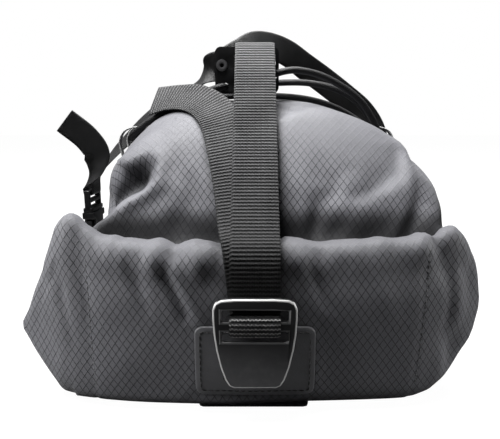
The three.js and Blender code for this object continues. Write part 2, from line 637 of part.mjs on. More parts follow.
// ---------- cord lock: barrel, sprung plunger and its spring ----------
// Built on the Z axis from its underside, then set in place.
const upright = (radius, z0, z1) => solid(new THREE.CylinderGeometry(radius, radius, z1 - z0, 32)
  .rotateX(Math.PI / 2).translate(0, 0, (z0 + z1) / 2));
const lockBarrel = () => geometryOf(upright(10.5, 0, 18.5).subtract(upright(8.2, 1.6, 20))
  .subtract(solidBox(-6.3, 6.3, -12, 12, 8.5, 13.9)));
const lockPlunger = () => geometryOf(upright(7.85, 6.9, 22.5)
  .subtract(solidBox(-5.5, 5.5, -12, 12, 8.4, 17.2)));
function lockSpring() {
  const coil = { turns: 2.5, radius: 5.6, bottom: 2.25, height: 4.0, wireRadius: 0.35 };
  const steps = 36;
  const curve = new THREE.CatmullRomCurve3(times(steps + 1, (i) => {
    const t = i / steps, angle = t * coil.turns * 2 * Math.PI;
    const x = coil.radius * Math.cos(angle), y = coil.radius * Math.sin(angle);
    return vec(x, y, coil.bottom + t * coil.height);
  }), false, "centripetal");
  const centres = times(steps + 1, (i) => curve.getPointAt(i / steps));
  const tangents = times(steps + 1, (i) => curve.getTangentAt(i / steps));
  return roundBar(centres, tangents, coil.wireRadius, 6);
}
add("cord_lock_barrel", lockBarrel().translate(0, LOCK.y, LOCK.z), "plastic");
add("cord_lock_plunger", lockPlunger().translate(0, LOCK.y, LOCK.z), "plastic");
add("cord_lock_spring", lockSpring().translate(0, LOCK.y, LOCK.z), "steel");

// ---------- elastic cord: one closed lacing through the loops, the hub and the lock ----------
const CORD_LOCK_Z = LOCK.z + 11.2; // height of the cord inside the lock

// Crossing between two loops: its inner points, raised off the skin by a bump.
function crossing(skin, y0, degrees0, y1, degrees1, { lift, middle = 90, spread = 24 }) {
  const steps = 8;
  return times(steps - 1, (i) => {
    const t = (i + 1) / steps, degrees = degrees0 + (degrees1 - degrees0) * t;
    const bump = lift * Math.exp(-(((degrees - middle) / spread) ** 2));
    return skin(y0 + (y1 - y0) * t, degrees, 3.1 + bump);
  });
}
// Half of the lacing: hub hole, rear loop, across to the middle loop, back to the front loop, lock.
// The angles and x of a left half are given as if it were on the right, and mirrored.
function halfLacing(sign, hole, toRearLoop, firstBump, secondBump) {
  const skin = (y, degrees, offset) => bodyPoint(y, flankAngle(sign, degrees), offset);
  const free = (x, y, z) => vec(sign * x, y, z);
  const { rear, middle, front } = LOOP_Y;
  const [hubX, hubZ] = onHub(hole), holeX = sign * hubX;
  const beside = 42, inside = 38.6; // degrees up the flank next to a loop and within it
  const farBeside = 180 - beside, farInside = 180 - inside;
  return [
    free(holeX - 1.0, 109.2, hubZ), free(holeX, 105.5, hubZ), free(holeX, 101.5, hubZ),
    ...toRearLoop(skin, free),
    skin(105, 43, 4.2), skin(rear, inside, 4.6), skin(rear + 7, beside, 4.2),
    ...crossing(skin, rear + 7, beside, middle - 7, farBeside, firstBump),
    skin(middle - 7, farBeside, 4.2), skin(middle, farInside, 4.6),
    skin(middle + 7, farBeside, 4.2),
    ...crossing(skin, middle + 7, farBeside, front - 7, beside, secondBump),
    skin(front - 7, beside, 4.2), skin(front, inside, 4.6), skin(front + 6, beside, 4.2),
    skin(front + 8.5, 56, 4.0), skin(front + 9.5, 70, 6.0),
    free(7.4, 223.6, 157.4), free(3.0, 227.6, CORD_LOCK_Z), free(2.75, 234, CORD_LOCK_Z),
    free(2.75, 242, CORD_LOCK_Z), free(3.3, 247, CORD_LOCK_Z), free(5.2, 252, CORD_LOCK_Z - 0.6),
  ];
}
function elasticCord() {
  const right = halfLacing(SIDES.right, HUB.cordHoles.right, (skin, free) => [
    free(13.2, 98.9, 182.3), free(18.0, 97.4, 183.6), free(25.5, 97.2, 184.4),
    free(39.5, 98, 182), free(54.8, 99.5, 175.2), free(67.8, 101.5, 166.2), free(76, 103, 156),
  ], { lift: 12, middle: 75, spread: 30 }, { lift: 0 });
  const left = halfLacing(SIDES.left, HUB.cordHoles.left, (skin, free) => [
    free(21.3, 98.9, 174.4), skin(100.6, 72, 6.2), skin(102.2, 61, 3.3), skin(103.5, 51, 3.3),
  ], { lift: 2 }, { lift: 6 });
  const points = [
    vec(7.6, 112.6, 179.4), ...right, vec(0, 258.5, CORD_LOCK_Z - 1.2),
    ...left.reverse(), vec(-13, 112.2, 175.6), vec(-3.5, 113, 176.4),
  ];
  const curve = new THREE.CatmullRomCurve3(points, true, "centripetal");
  const steps = points.length * 3;
  const centres = times(steps, (i) => curve.getPoint(i / steps));
  const tangents = times(steps, (i) => curve.getTangent(i / steps));
  return roundBar(centres, tangents, CORD_RADIUS, 6, true);
}
add("elastic_cord", elasticCord(), "cord");

// ---------- seatpost straps and the pads they close on ----------
const POST = { y: 356.5, radius: 17.5 }; // centre and inside radius of the closed loops
const POST_STRAP_Z = { upper: 85, lower: 50 };

function seatpostStrap(z) {
  const steps = 12, radius = POST.radius + 1.3;
  const loop = times(steps + 1, (i) => {
    const angle = Math.PI - (Math.PI * i) / steps;
    return [radius * Math.cos(angle), POST.y + radius * Math.sin(angle)];
  });
  // x, y
  const path = [
    [-27.5, 338.3], [-21.5, 338.9], [-18.6, 342.5], ...loop,
    [18.6, 343.5], [20.6, 340.8], [24, 340.2], [29.5, 340.2],
  ];
  return ribbon(stations(path.map(([x, y]) => [x, y, z]), ALONG_Z), POST_WEBBING);
}
for (const [label, z] of Object.entries(POST_STRAP_Z)) {
  add("seatpost_strap_" + label, seatpostStrap(z), "webbing");
  add("seatpost_pad_" + label, box(18.5, 28.5, 337.4, 339.0, z - 10.5, z + 10.5), "hook_loop");
}

export default root;
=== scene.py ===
# A roll-top saddle bag: a packed main compartment, the rolled mouth behind it, webbing straps,
# an elastic cord with its lock, and buckles kept from the CAD.
# Shapes are worked out in millimetres and moved to the frame (metres) when a mesh is made.
# X points to the bag's right, Z up, and Y forward from the rear face of the hook buckle.
import json
import math
from functools import cached_property

import bpy
import bmesh
import numpy as np
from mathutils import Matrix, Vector, noise

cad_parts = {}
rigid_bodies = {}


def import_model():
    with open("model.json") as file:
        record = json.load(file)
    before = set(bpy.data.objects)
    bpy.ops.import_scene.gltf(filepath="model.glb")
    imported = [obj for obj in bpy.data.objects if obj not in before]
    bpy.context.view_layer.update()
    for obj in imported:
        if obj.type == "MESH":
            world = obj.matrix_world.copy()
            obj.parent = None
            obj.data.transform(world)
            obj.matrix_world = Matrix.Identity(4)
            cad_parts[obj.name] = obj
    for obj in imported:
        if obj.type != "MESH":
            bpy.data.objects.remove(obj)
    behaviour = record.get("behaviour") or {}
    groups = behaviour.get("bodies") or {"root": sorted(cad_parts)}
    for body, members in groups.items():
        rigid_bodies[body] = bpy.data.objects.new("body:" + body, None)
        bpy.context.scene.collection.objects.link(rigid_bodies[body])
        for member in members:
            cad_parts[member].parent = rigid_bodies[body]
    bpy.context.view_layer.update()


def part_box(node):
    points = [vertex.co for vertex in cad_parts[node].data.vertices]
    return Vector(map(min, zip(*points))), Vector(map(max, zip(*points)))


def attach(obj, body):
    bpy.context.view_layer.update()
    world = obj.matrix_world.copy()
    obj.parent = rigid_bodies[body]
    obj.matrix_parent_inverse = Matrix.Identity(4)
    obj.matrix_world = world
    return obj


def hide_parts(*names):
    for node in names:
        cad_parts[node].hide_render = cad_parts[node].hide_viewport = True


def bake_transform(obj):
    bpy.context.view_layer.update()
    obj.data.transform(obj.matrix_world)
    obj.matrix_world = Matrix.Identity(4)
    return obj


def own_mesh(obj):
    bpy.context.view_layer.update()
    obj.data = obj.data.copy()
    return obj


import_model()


TURN = 2 * math.pi
SIDES = ((1, "right"), (-1, "left"))

# Places shared by several pieces, mm
HUB_REAR_Y = 102.0                # rear face of the strap hub
FRAME_Y = HUB_REAR_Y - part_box("strap_hub")[0].y * 1000.0    # Y here of the frame's origin
BAR_Y, BAR_Z = 103.95, 196.85     # hub bar that the centre strap turns round
BUCKLE_Y = 156                    # side buckles
LOCK_Y, LOCK_Z = 238, 147.9       # cord lock: its axis, and the foot of the lock
LOOPS = {"rear": 111, "middle": 134, "front": 215}          # Y of the cord loops
LOOP_ANGLE = 38                   # degrees up from the side


def to_frame(points):
    return (np.asarray(points, float) - np.array([0.0, FRAME_Y, 0.0])) / 1000.0


# ------------------------------------------------------------------ small maths
def unit(v):
    return v / np.maximum(np.linalg.norm(v, axis=-1, keepdims=True), 1e-12)


def rise(start, end, x):
    """Smooth step from 0 at start to 1 at end; start may be the larger."""
    t = np.clip((x - start) / (end - start), 0, 1)
    return t * t * (3 - 2 * t)


def fade(start, end, x):
    return 1 - rise(start, end, x)


def gauss(x, centre, width):
    return np.exp(-((x - centre) / width) ** 2)


def signed_power(value, power):
    return np.sign(value) * np.abs(value) ** power


def pchip(x, xs, ys):
    """Cubic through the stations that never overshoots them."""
    x = np.asarray(x, float)
    gap = np.diff(xs)
    slope = np.diff(ys) / gap
    tangent = np.zeros(len(xs))
    for i in range(1, len(xs) - 1):
        if slope[i - 1] * slope[i] > 0:
            w1 = 2 * gap[i] + gap[i - 1]
            w2 = gap[i] + 2 * gap[i - 1]
            tangent[i] = (w1 + w2) / (w1 / slope[i - 1] + w2 / slope[i])
    tangent[0], tangent[-1] = slope[0], slope[-1]
    k = np.clip(np.searchsorted(xs, x) - 1, 0, len(xs) - 2)
    t = np.clip((x - xs[k]) / gap[k], 0, 1)
    t2, t3 = t * t, t * t * t
    return ((2 * t3 - 3 * t2 + 1) * ys[k] + (t3 - 2 * t2 + t) * gap[k] * tangent[k]
            + (-2 * t3 + 3 * t2) * ys[k + 1] + (t3 - t2) * gap[k] * tangent[k + 1])


def catmull(points, per_span, closed=False):
    """Centripetal Catmull-Rom through the rows; the first three columns set the pace."""
    rows = np.asarray(points, float)
    if closed:
        rows = np.concatenate([rows[-1:], rows, rows[:2]])
    else:
        rows = np.concatenate([2 * rows[:1] - rows[1:2], rows, 2 * rows[-1:] - rows[-2:-1]])
    t = (np.arange(per_span) / per_span)[:, None]
    out = []
    for p0, p1, p2, p3 in zip(rows, rows[1:], rows[2:], rows[3:]):
        a, b, c = [max(np.linalg.norm(q[:3]) ** 0.5, 1e-4) for q in (p1 - p0, p2 - p1, p3 - p2)]
        m1 = ((p1 - p0) / a - (p2 - p0) / (a + b) + (p2 - p1) / b) * b
        m2 = ((p2 - p1) / b - (p3 - p1) / (b + c) + (p3 - p2) / c) * b
        out.append((2 * t**3 - 3 * t**2 + 1) * p1 + (t**3 - 2 * t**2 + t) * m1
                   + (-2 * t**3 + 3 * t**2) * p2 + (t**3 - t**2) * m2)
    if not closed:
        out.append(rows[-2:-1])
    return np.concatenate(out)


def path_length(points):
    steps = np.linalg.norm(np.diff(points, axis=0), axis=1)
    return np.concatenate([[0], np.cumsum(steps)])


def resample(rows, step):
    """Rows at an even spacing along the first three columns, and the distance of each."""
    s = path_length(rows[:, :3])
    even = np.linspace(0, s[-1], max(2, int(round(s[-1] / step)) + 1))
    return np.stack([np.interp(even, s, column) for column in rows.T], 1), even


def fbm(x, y, z, octaves):
    """Smooth repeatable noise on arrays, about -1 to 1."""
    out = np.empty(x.size)
    for i, (px, py) in enumerate(zip(x.ravel(), y.ravel())):
        p = Vector((px, py, z))
        total, weight = 0.0, 1.0
        for _ in range(octaves):
            total += weight * noise.noise(p)
            p = p * 2.03 + Vector((3.1, 1.7, 5.3))
            weight *= 0.5
        out[i] = total
    return out.reshape(x.shape)


def full_turn(count):
    """Angles once round a section, from its lowest point."""
    return np.linspace(-math.pi / 2, 1.5 * math.pi, count + 1)[:-1]


def even_angles(outline, samples, count):
    """Angles that lie evenly along outline(angles), from its lowest point, and its girth."""
    angles = np.linspace(-math.pi / 2, 1.5 * math.pi, samples)
    s = path_length(outline(angles))
    return np.interp(np.linspace(0, s[-1], count + 1)[:-1], s, angles), s[-1]


def oval(angles, y, half_width, low, high, exponent):
    """Superellipse in a plane across the bag."""
    power = 2 / exponent
    return np.stack([half_width * signed_power(np.cos(angles), power),
                     np.full(angles.shape, y),
                     (low + high) / 2 + (high - low) / 2 * signed_power(np.sin(angles), power)], 1)


def outward_normals(grid, centre, plane):
    """Normals of a grid closed along its second axis, pointing away from centre in plane."""
    along = np.gradient(grid, axis=0)
    around = np.roll(grid, -1, 1) - np.roll(grid, 1, 1)
    normals = unit(np.cross(along, around))
    return normals * np.sign(((grid - centre) * normals * np.array(plane)).sum(-1).mean())


# ------------------------------------------------------------------ mesh making
def new_mesh(name, verts, faces, corner_uv=None):
    """Smooth-shaded object from mm points, with an optional UV for each face corner."""
    mesh = bpy.data.meshes.new(name)
    mesh.from_pydata([tuple(v) for v in to_frame(verts)], [], faces)
    mesh.polygons.foreach_set("use_smooth", [True] * len(mesh.polygons))
    mesh.validate()
    if corner_uv is not None:
        layer = mesh.uv_layers.new(name="UVMap")
        layer.data.foreach_set("uv", np.asarray(corner_uv, np.float32).ravel())
    ob = bpy.data.objects.new(name, mesh)
    bpy.context.scene.collection.objects.link(ob)
    bm = bmesh.new()
    bm.from_mesh(mesh)
    bmesh.ops.recalc_face_normals(bm, faces=bm.faces)
    bm.to_mesh(mesh)
    bm.free()
    return ob


def grid_faces(rings, sides, close_rings=False):
    """Quads between rings of points, each ring closed on itself."""
    faces = []
    for i in range(rings if close_rings else rings - 1):
        here, there = i * sides, (i + 1) % rings * sides
        for j in range(sides):
            k = (j + 1) % sides
            faces.append((here + j, there + j, there + k, here + k))
    return faces


def quad_corners(uv):
    """Corner UVs in the order of grid_faces, from an array one longer than the faces each way."""
    corners = [uv[:-1, :-1], uv[1:, :-1], uv[1:, 1:], uv[:-1, 1:]]
    return np.stack(corners, 2).reshape(-1, 2)


def ring_tube(name, rings, around, along):
    """Skin over rings of points, capped at both ends; around and along are its U and V."""
    count, sides = rings.shape[:2]
    uv = np.stack(np.broadcast_arrays(around, along), -1)
    verts = np.concatenate([rings.reshape(-1, 3), [rings[0].mean(0), rings[-1].mean(0)]])
    faces = grid_faces(count, sides)
    middle, last = count * sides, (count - 1) * sides
    start = (uv[0, :, 0].mean(), uv[0, 0, 1] - 1)
    end = (uv[-1, :, 0].mean(), uv[-1, 0, 1] + 1)
    caps = []
    for j in range(sides):
        k = (j + 1) % sides
        faces += [(middle, j, k), (middle + 1, last + k, last + j)]
        caps += [start, uv[0, j], uv[0, j + 1], end, uv[-1, j + 1], uv[-1, j]]
    return new_mesh(name, verts, faces, np.concatenate([quad_corners(uv), np.array(caps)]))


def strap(name, stations, width, thick, step=0.4, per_span=24, columns=18, rib=0.0,
          rib_pitch=2.1):
    """Webbing along rows (x, y, z, width direction x, y, z); rib is the height of its weave."""
    rows, s = resample(catmull(stations, per_span), step)
    p, across = rows[:, :3], rows[:, 3:6]
    along = unit(np.gradient(p, axis=0))
    across = unit(across - (across * along).sum(1, keepdims=True) * along)
    normal = np.cross(along, across)
    # columns drawn slightly towards the edges, where the strap thins
    even = np.linspace(-1, 1, columns + 1)
    quarter = math.pi / 2 * 0.97
    column = 0.35 * np.sin(even * quarter) / math.sin(quarter) + 0.65 * even
    edge_thin = 0.65
    profile = thick / 2 * (1 - np.abs(column) ** 14 * edge_thin)
    u = column[None, :] * (width / 2)
    zigzag = 0.09 * np.sin(TURN * u / 1.9)
    relief = (rib * np.cos(TURN * (s[:, None] / rib_pitch + zigzag))
              * (1 - np.abs(column)[None, :] ** 20))
    middle = p[:, None, :] + across[:, None, :] * u[..., None]
    rise_off = normal[:, None, :] * (profile[None, :] + relief)[..., None]
    rings = np.concatenate([middle + rise_off, (middle - rise_off)[:, ::-1]], 1)
    # the underside's U starts 60 mm on, and the closing edge ends 120 mm on
    flat = column * (width / 2)
    around = np.concatenate([flat, flat[::-1] + 60.0, [flat[0] + 120.0]])
    return ring_tube(name, rings, around[None, :], s[:, None])


def tube(name, points, radius, sides, step, per_span, closed=False):
    """Round cord through control points."""
    path = catmull(points, per_span, closed)
    if closed:
        path = np.concatenate([path, path[:1]])
    path, s = resample(path, step)
    if closed:
        path = path[:-1]
        tangent = unit(np.roll(path, -1, 0) - np.roll(path, 1, 0))
    else:
        tangent = unit(np.gradient(path, axis=0))
    count = len(path)
    side = np.array([0, 0, 1.0]) if abs(tangent[0][2]) < 0.9 else np.array([1.0, 0, 0])
    normals = []
    for t in tangent:
        side = unit(side - side.dot(t) * t)
        normals.append(side)
    normals = np.array(normals)
    twist = 0.0
    if closed:
        # spread the mismatch where the ends meet over the whole length
        t = tangent[0]
        back = unit(normals[-1] - normals[-1].dot(t) * t)
        twist = math.atan2(np.cross(back, normals[0]).dot(t), back.dot(normals[0]))
    angle = (np.linspace(0, TURN, sides + 1)[:-1][None, :]
             + (twist * np.arange(count) / count)[:, None])[..., None]
    binormal = np.cross(tangent, normals)
    rings = path[:, None, :] + radius * (np.cos(angle) * normals[:, None, :]
                                         + np.sin(angle) * binormal[:, None, :])
    around = (np.arange(sides + 1) / sides * TURN * radius)[None, :]
    if not closed:
        return ring_tube(name, rings, around, s[:, None])
    uv = np.stack(np.broadcast_arrays(around, s[:, None]), -1)
    faces = grid_faces(count, sides, close_rings=True)
    return new_mesh(name, rings.reshape(-1, 3), faces, quad_corners(uv))


def stitches(name, points, normals, length, gap, radius, lift):
    """A row of thread stitches along a polyline on a surface with the given normals."""
    path, s = resample(np.concatenate([points, normals], 1), 0.25)
    rings, sides = 7, 8
    verts, faces = [], []
    start = gap
    while start + length < s[-1]:
        centres, ups = [], []
        for k in range(rings):
            at = start + length * k / (rings - 1)
            row = np.array([np.interp(at, s, column) for column in path.T])
            up = unit(row[3:])
            arch = math.sin(math.pi * k / (rings - 1)) * 0.75 * radius
            centres.append(row[:3] + up * (arch + lift - 0.35 * radius))
            ups.append(up)
        base = len(verts)
        for k in range(rings):
            along = unit(centres[min(k + 1, rings - 1)] - centres[max(k - 1, 0)])
            side = np.cross(along, ups[k])
            thick = radius * (0.55 + 0.45 * math.sin(math.pi * (k + 0.6) / 7.2))
            for j in range(sides):
                a = TURN * j / sides
                verts.append(centres[k]
                             + thick * (math.cos(a) * ups[k] * 0.8 + math.sin(a) * side))
        for k in range(rings - 1):
            here, there = base + k * sides, base + (k + 1) * sides
            for j in range(sides):
                n = (j + 1) % sides
                faces.append((here + j, here + n, there + n, there + j))
        faces.append(tuple(base + j for j in reversed(range(sides))))
        faces.append(tuple(base + (rings - 1) * sides + j for j in range(sides)))
        start += length + gap
    return new_mesh(name, np.array(verts), faces)


def rounded_outline(width, height, radius, steps):
    """Closed rectangle outline with rounded corners; the last point repeats the first."""
    x, y = width / 2 - radius, height / 2 - radius
    out = []
    for cx, cy, start in ((x, y, 0), (-x, y, 90), (-x, -y, 180), (x, -y, 270)):
        for k in range(steps + 1):
            a = math.radians(start + 90 * k / steps)
            out.append((cx + radius * math.cos(a), cy + radius * math.sin(a)))
    return np.array(out + out[:1])


def pad(name, size, surface, thick, lift=0.0, rings=16, edge=0.5):
    """Rounded sheet of size (width, height, corner) over surface(a, b, lift) -> point."""
    outline = resample(rounded_outline(*size, steps=7), 1.6)[0][:-1]
    half = min(size[:2]) / 2
    scales = list(np.linspace(0.03, 1, rings))
    # (scale of the outline, share of the thickness): top, eased edge, underside
    profile = [(k * (1 - edge / half), 1.0) for k in scales]
    profile += [(1 - 0.45 * edge / half, 0.86), (1 - 0.12 * edge / half, 0.6), (1.0, 0.3)]
    profile += [(k, 0.0) for k in scales[::-1]]
    flat = np.array([outline * k for k, _ in profile])
    points = [[surface(a, b, lift + thick * share) for a, b in ring]
              for ring, (_, share) in zip(flat, profile)]
    uv = np.concatenate([flat, flat[:, :1]], 1)
    return ring_tube(name, np.array(points), uv[..., 0], uv[..., 1])


def pad_stitches(name, size, surface, lift, inset, length, gap, radius):
    """Stitch line set in from the edge of a pad of the same size."""
    width, height, corner = size
    outline = rounded_outline(width - 2 * inset, height - 2 * inset,
                              max(0.8, corner - inset), steps=6)
    line = resample(outline, 0.9)[0]
    low = np.array([surface(a, b, lift) for a, b in line])
    high = np.array([surface(a, b, lift + 1) for a, b in line])
    return stitches(name, low, unit(high - low), length, gap, radius, lift=0.06)


# ------------------------------------------------------------------ shader building
class Value:
    """A shader output; + - * / on it add Math nodes."""

    def __init__(self, shader, socket):
        self.shader = shader
        self.socket = socket

    def __add__(self, other):
        return self.shader.math("ADD", self, other)

    def __sub__(self, other):
        return self.shader.math("SUBTRACT", self, other)

    def __rsub__(self, other):
        return self.shader.math("SUBTRACT", other, self)

    def __mul__(self, other):
        return self.shader.math("MULTIPLY", self, other)

    def __truediv__(self, other):
        return self.shader.math("DIVIDE", self, other)


def colour4(value):
    return value if isinstance(value, Value) else tuple(value) + (1,)


def scaled(colour, factor):
    return tuple(c * factor for c in colour)


class Shader:
    """A node material round its Principled node."""

    INPUTS = {"rough": "Roughness", "metal": "Metallic", "normal": "Normal",
              "spec": "Specular IOR Level", "sheen": "Sheen Weight",
              "sheen_rough": "Sheen Roughness", "sub": "Subsurface Weight"}

    def __init__(self, name):
        self.material = bpy.data.materials.new(name)
        self.material.use_nodes = True
        self.tree = self.material.node_tree
        self.principled = self.tree.nodes["Principled BSDF"]

    def put(self, socket, value):
        if isinstance(value, Value):
            self.tree.links.new(value.socket, socket)
        else:
            socket.default_value = value

    def node(self, kind, inputs=None, output=0, **settings):
        """Add a node, fill inputs by name or number and return one of its outputs."""
        node = self.tree.nodes.new(kind)
        for key, value in settings.items():
            setattr(node, key, value)
        for key, value in (inputs or {}).items():
            self.put(node.inputs[key], value)
        return Value(self, node.outputs[output])

    def split(self, vector):
        first = self.node("ShaderNodeSeparateXYZ", {0: vector})
        return [Value(self, socket) for socket in first.socket.node.outputs]

    @cached_property
    def uv(self):
        """U and V, in mm."""
        return self.split(self.node("ShaderNodeUVMap", uv_map="UVMap"))[:2]

    @cached_property
    def position(self):
        """Object position, in metres."""
        return self.node("ShaderNodeTexCoord", output="Object")

    def math(self, operation, *values):
        return self.node("ShaderNodeMath", dict(enumerate(values)), operation=operation)

    def sin(self, angle):
        return self.math("SINE", angle)

    def cos(self, angle):
        return self.math("COSINE", angle)

    def max(self, a, b):
        return self.math("MAXIMUM", a, b)

    def ramp(self, value, low, high, out=(0.0, 1.0)):
        """Smooth change from out[0] to out[1] as value goes from low to high."""
        return self.node("ShaderNodeMapRange", {0: value, 1: low, 2: high, 3: out[0], 4: out[1]},
                         interpolation_type="SMOOTHSTEP")

    def mix(self, factor, a, b):
        return self.node("ShaderNodeMix", {0: factor, 6: colour4(a), 7: colour4(b)}, output=2,
                         data_type="RGBA")

    def noise(self, scale, detail=3.0, rough=0.5, at=None):
        return self.node("ShaderNodeTexNoise", {"Vector": at or self.position, "Scale": scale,
                                                "Detail": detail, "Roughness": rough})

    def fibres(self, u_scale, v_scale):
        """Streaks along the yarns: noise on the stretched UV."""
        u, v = self.uv
        return self.noise(1.0, rough=0.7, at=self.combine(u * u_scale, v * v_scale))

    def voronoi(self, scale):
        return self.node("ShaderNodeTexVoronoi", {"Scale": scale, "Vector": self.position})

    def combine(self, x, y):
        return self.node("ShaderNodeCombineXYZ", {0: x, 1: y})

    def bump(self, height, distance, strength, under=None):
        """Bump of distance metres, over another normal if given."""
        inputs = {"Strength": strength, "Distance": distance, "Height": height}
        if under is not None:
            inputs["Normal"] = under
        return self.node("ShaderNodeBump", inputs)

    def finish(self, color, **inputs):
        self.put(self.principled.inputs["Base Color"], colour4(color))
        for key, value in inputs.items():
            self.put(self.principled.inputs[self.INPUTS[key]], value)
        return self.material


def edge_mask(m, radius):
    """1 on edges, from the difference between the bevelled and the true normal."""
    bevel = m.node("ShaderNodeBevel", {"Radius": radius}, samples=4)
    true = m.node("ShaderNodeNewGeometry", output="Normal")
    dot = m.node("ShaderNodeVectorMath", {0: bevel, 1: true}, "Value", operation="DOT_PRODUCT")
    return m.ramp(1.0 - dot, 0.02, 0.25)


def fold_shade(m):
    """Painted shade that gathers where cloth faces cloth, from ambient occlusion."""
    open_sky = m.node("ShaderNodeAmbientOcclusion", {"Distance": 0.022}, "AO", samples=6)
    return m.ramp(open_sky, 0.34, 0.90, out=(0.10, 1.0))


# ------------------------------------------------------------------ materials
def ripstop(name, base=(0.082, 0.082, 0.090), line=(0.008, 0.008, 0.010), painted_yarn_highlight=0.42,
            mouth=False):
    """Coated diamond ripstop: crossing heavier yarns over a fine plain weave, with painted shade
    in creases and a painted highlight on the yarns of faces turned up.
    """
    diamond_u, diamond_v, weave_pitch = 4.3, 6.0, 0.42    # mm
    m = Shader(name)
    u, v = m.uv
    wobble = (m.noise(55, detail=2) - 0.5) * 0.9
    yarns = []
    for cross in ("ADD", "SUBTRACT"):
        phase = m.math(cross, (u + wobble) / diamond_u, v / diamond_v)
        off_yarn = m.math("ABSOLUTE", phase - m.math("ROUND", phase))
        yarns.append(m.ramp(off_yarn, 0.030, 0.095, out=(1.0, 0.0)))
    grid = m.max(*yarns)
    grid = grid * m.ramp(m.noise(900, detail=2), 0.30, 0.55, out=(0.55, 1.0))
    weave = m.sin((u + v) * (TURN / weave_pitch)) * m.sin((u - v) * (TURN / weave_pitch))
    grain = m.noise(2600, rough=0.65)
    mottle = m.noise(28, detail=4, rough=0.55)
    dust = m.ramp(m.noise(420, detail=4, rough=0.7), 0.60, 0.78)
    color = m.mix(m.ramp(mottle, 0.3, 0.7), scaled(base, 0.90), scaled(base, 1.10))
    color = m.mix(m.ramp(grain, 0.35, 0.65) * 0.30, color, scaled(base, 1.65))
    color = m.mix(dust * 0.16, color, scaled(base, 2.6))
    # painted highlight: the heavy yarns are dark on steep faces and paler on faces turned up,
    # where the light catches them
    up = m.split(m.node("ShaderNodeNewGeometry", output="Normal"))[2]
    lit = m.ramp(up, 0.30, 0.80)
    yarn = m.mix(lit * painted_yarn_highlight * 0.85, line, (0.30, 0.30, 0.31))
    color = m.mix(grid * m.ramp(lit, 0.0, 1.0, out=(0.92, 0.55)), color, yarn)
    # painted shade: ambient occlusion darkens the cloth's colour in creases and gaps
    color = m.mix(fold_shade(m), scaled(base, 0.12), color)
    if mouth:
        # painted shade along the line where the cloth goes in behind the roll
        _, y, z = m.split(m.position)
        unshaded = m.max(m.ramp(z, 0.0945, 0.1075, out=(0.22, 1.0)), m.ramp(y, -0.140, -0.115))
        color = m.mix(unshaded, scaled(base, 0.08), color)
    normal = m.bump(grid * 0.9 + (weave * 0.10 + grain * 0.35), distance=0.00016, strength=0.75)
    normal = m.bump(m.noise(170, rough=0.6), distance=0.0009, strength=0.22, under=normal)
    rough = m.ramp(mottle, 0.2, 0.8, out=(0.56, 0.66)) + grid * 0.08
    return m.finish(color, rough=rough, normal=normal, spec=0.28, sheen=0.06, sheen_rough=0.45)


def webbing(name, dark=(0.004, 0.004, 0.0045), light=(0.150, 0.150, 0.153), pitch=2.1,
            painted_shading=False):
    """Ribs across the width, each broken by the warp yarns into slanted dashes."""
    zigzag_pitch, warp_pitch = 1.9, 0.83    # mm
    m = Shader(name)
    u, v = m.uv
    zigzag = m.sin(u * (TURN / zigzag_pitch)) * 0.09
    rib = m.cos((v / pitch + zigzag) * TURN) * 0.5 + 0.5
    alternate = m.math("PINGPONG", m.math("FLOOR", u / warp_pitch), 1.0)
    dash = m.cos((v * (1 / pitch) + alternate * 0.5 + u * 0.32) * TURN) * 0.5 + 0.5
    warp = m.cos(u * (TURN / warp_pitch)) * 0.5 + 0.5
    fibre = m.fibres(2.2, 5.5)
    glow = m.math("POWER", rib, 2.2) * 0.72 + dash * warp * 0.28
    glow = glow * m.ramp(fibre, 0.25, 0.75, out=(0.6, 1.2))
    color = m.mix(m.ramp(glow, 0.22, 0.85), dark, light)
    color = m.mix(m.ramp(m.noise(40), 0.3, 0.75) * 0.18, color, scaled(light, 1.7))
    if painted_shading:
        # painted shade darkens the lower run; painted highlights pale the ribs on the rearmost
        # face and lighten the strap towards the top
        _, y, z = m.split(m.position)
        rear = m.ramp(y, -0.1806, -0.1794, out=(1.0, 0.0))
        unshaded = m.max(rear, m.ramp(z, 0.078, 0.172, out=(0.17, 1.0)))
        color = m.mix(unshaded, (0.004, 0.004, 0.0042), color)
        color = m.mix(rear * m.ramp(glow, 0.45, 0.80, out=(0.0, 0.75)), color, (0.55, 0.54, 0.53))
        color = m.mix(m.ramp(z, 0.172, 0.196, out=(0.0, 0.55)), color, (0.17, 0.17, 0.172))
    height = rib * 0.5 + (dash * warp * 0.5 + fibre * 0.25)
    return m.finish(color, rough=m.ramp(glow, 0, 1, out=(0.80, 0.58)),
                    normal=m.bump(height, distance=0.00035, strength=0.9),
                    spec=0.3, sheen=0.08, sheen_rough=0.5)


def flat_webbing(name):
    """Close woven flat strap: fine yarns, slightly shiny."""
    base, light = (0.012, 0.012, 0.0125), (0.034, 0.034, 0.035)
    pitch = 0.55    # mm
    m = Shader(name)
    u, v = m.uv
    weft = m.cos((u + v * 0.5) * (TURN / pitch))
    weave = weft * m.cos(v * (TURN / (pitch * 1.4))) * 0.5 + 0.5
    fibre = m.fibres(3.0, 0.8)
    edge = m.ramp(m.math("ABSOLUTE", u), 7.6, 8.4)
    color = m.mix(weave * m.ramp(fibre, 0.3, 0.7, out=(0.4, 1.0)), base, light)
    color = m.mix(edge * 0.5, color, scaled(base, 0.7))
    color = m.mix(m.ramp(m.noise(35), 0.4, 0.75) * 0.25, color, scaled(light, 1.5))
    return m.finish(color, rough=m.ramp(fibre, 0.2, 0.8, out=(0.42, 0.62)),
                    normal=m.bump(weave + fibre * 0.6, distance=0.00012, strength=0.8),
                    spec=0.35, sheen=0.03)


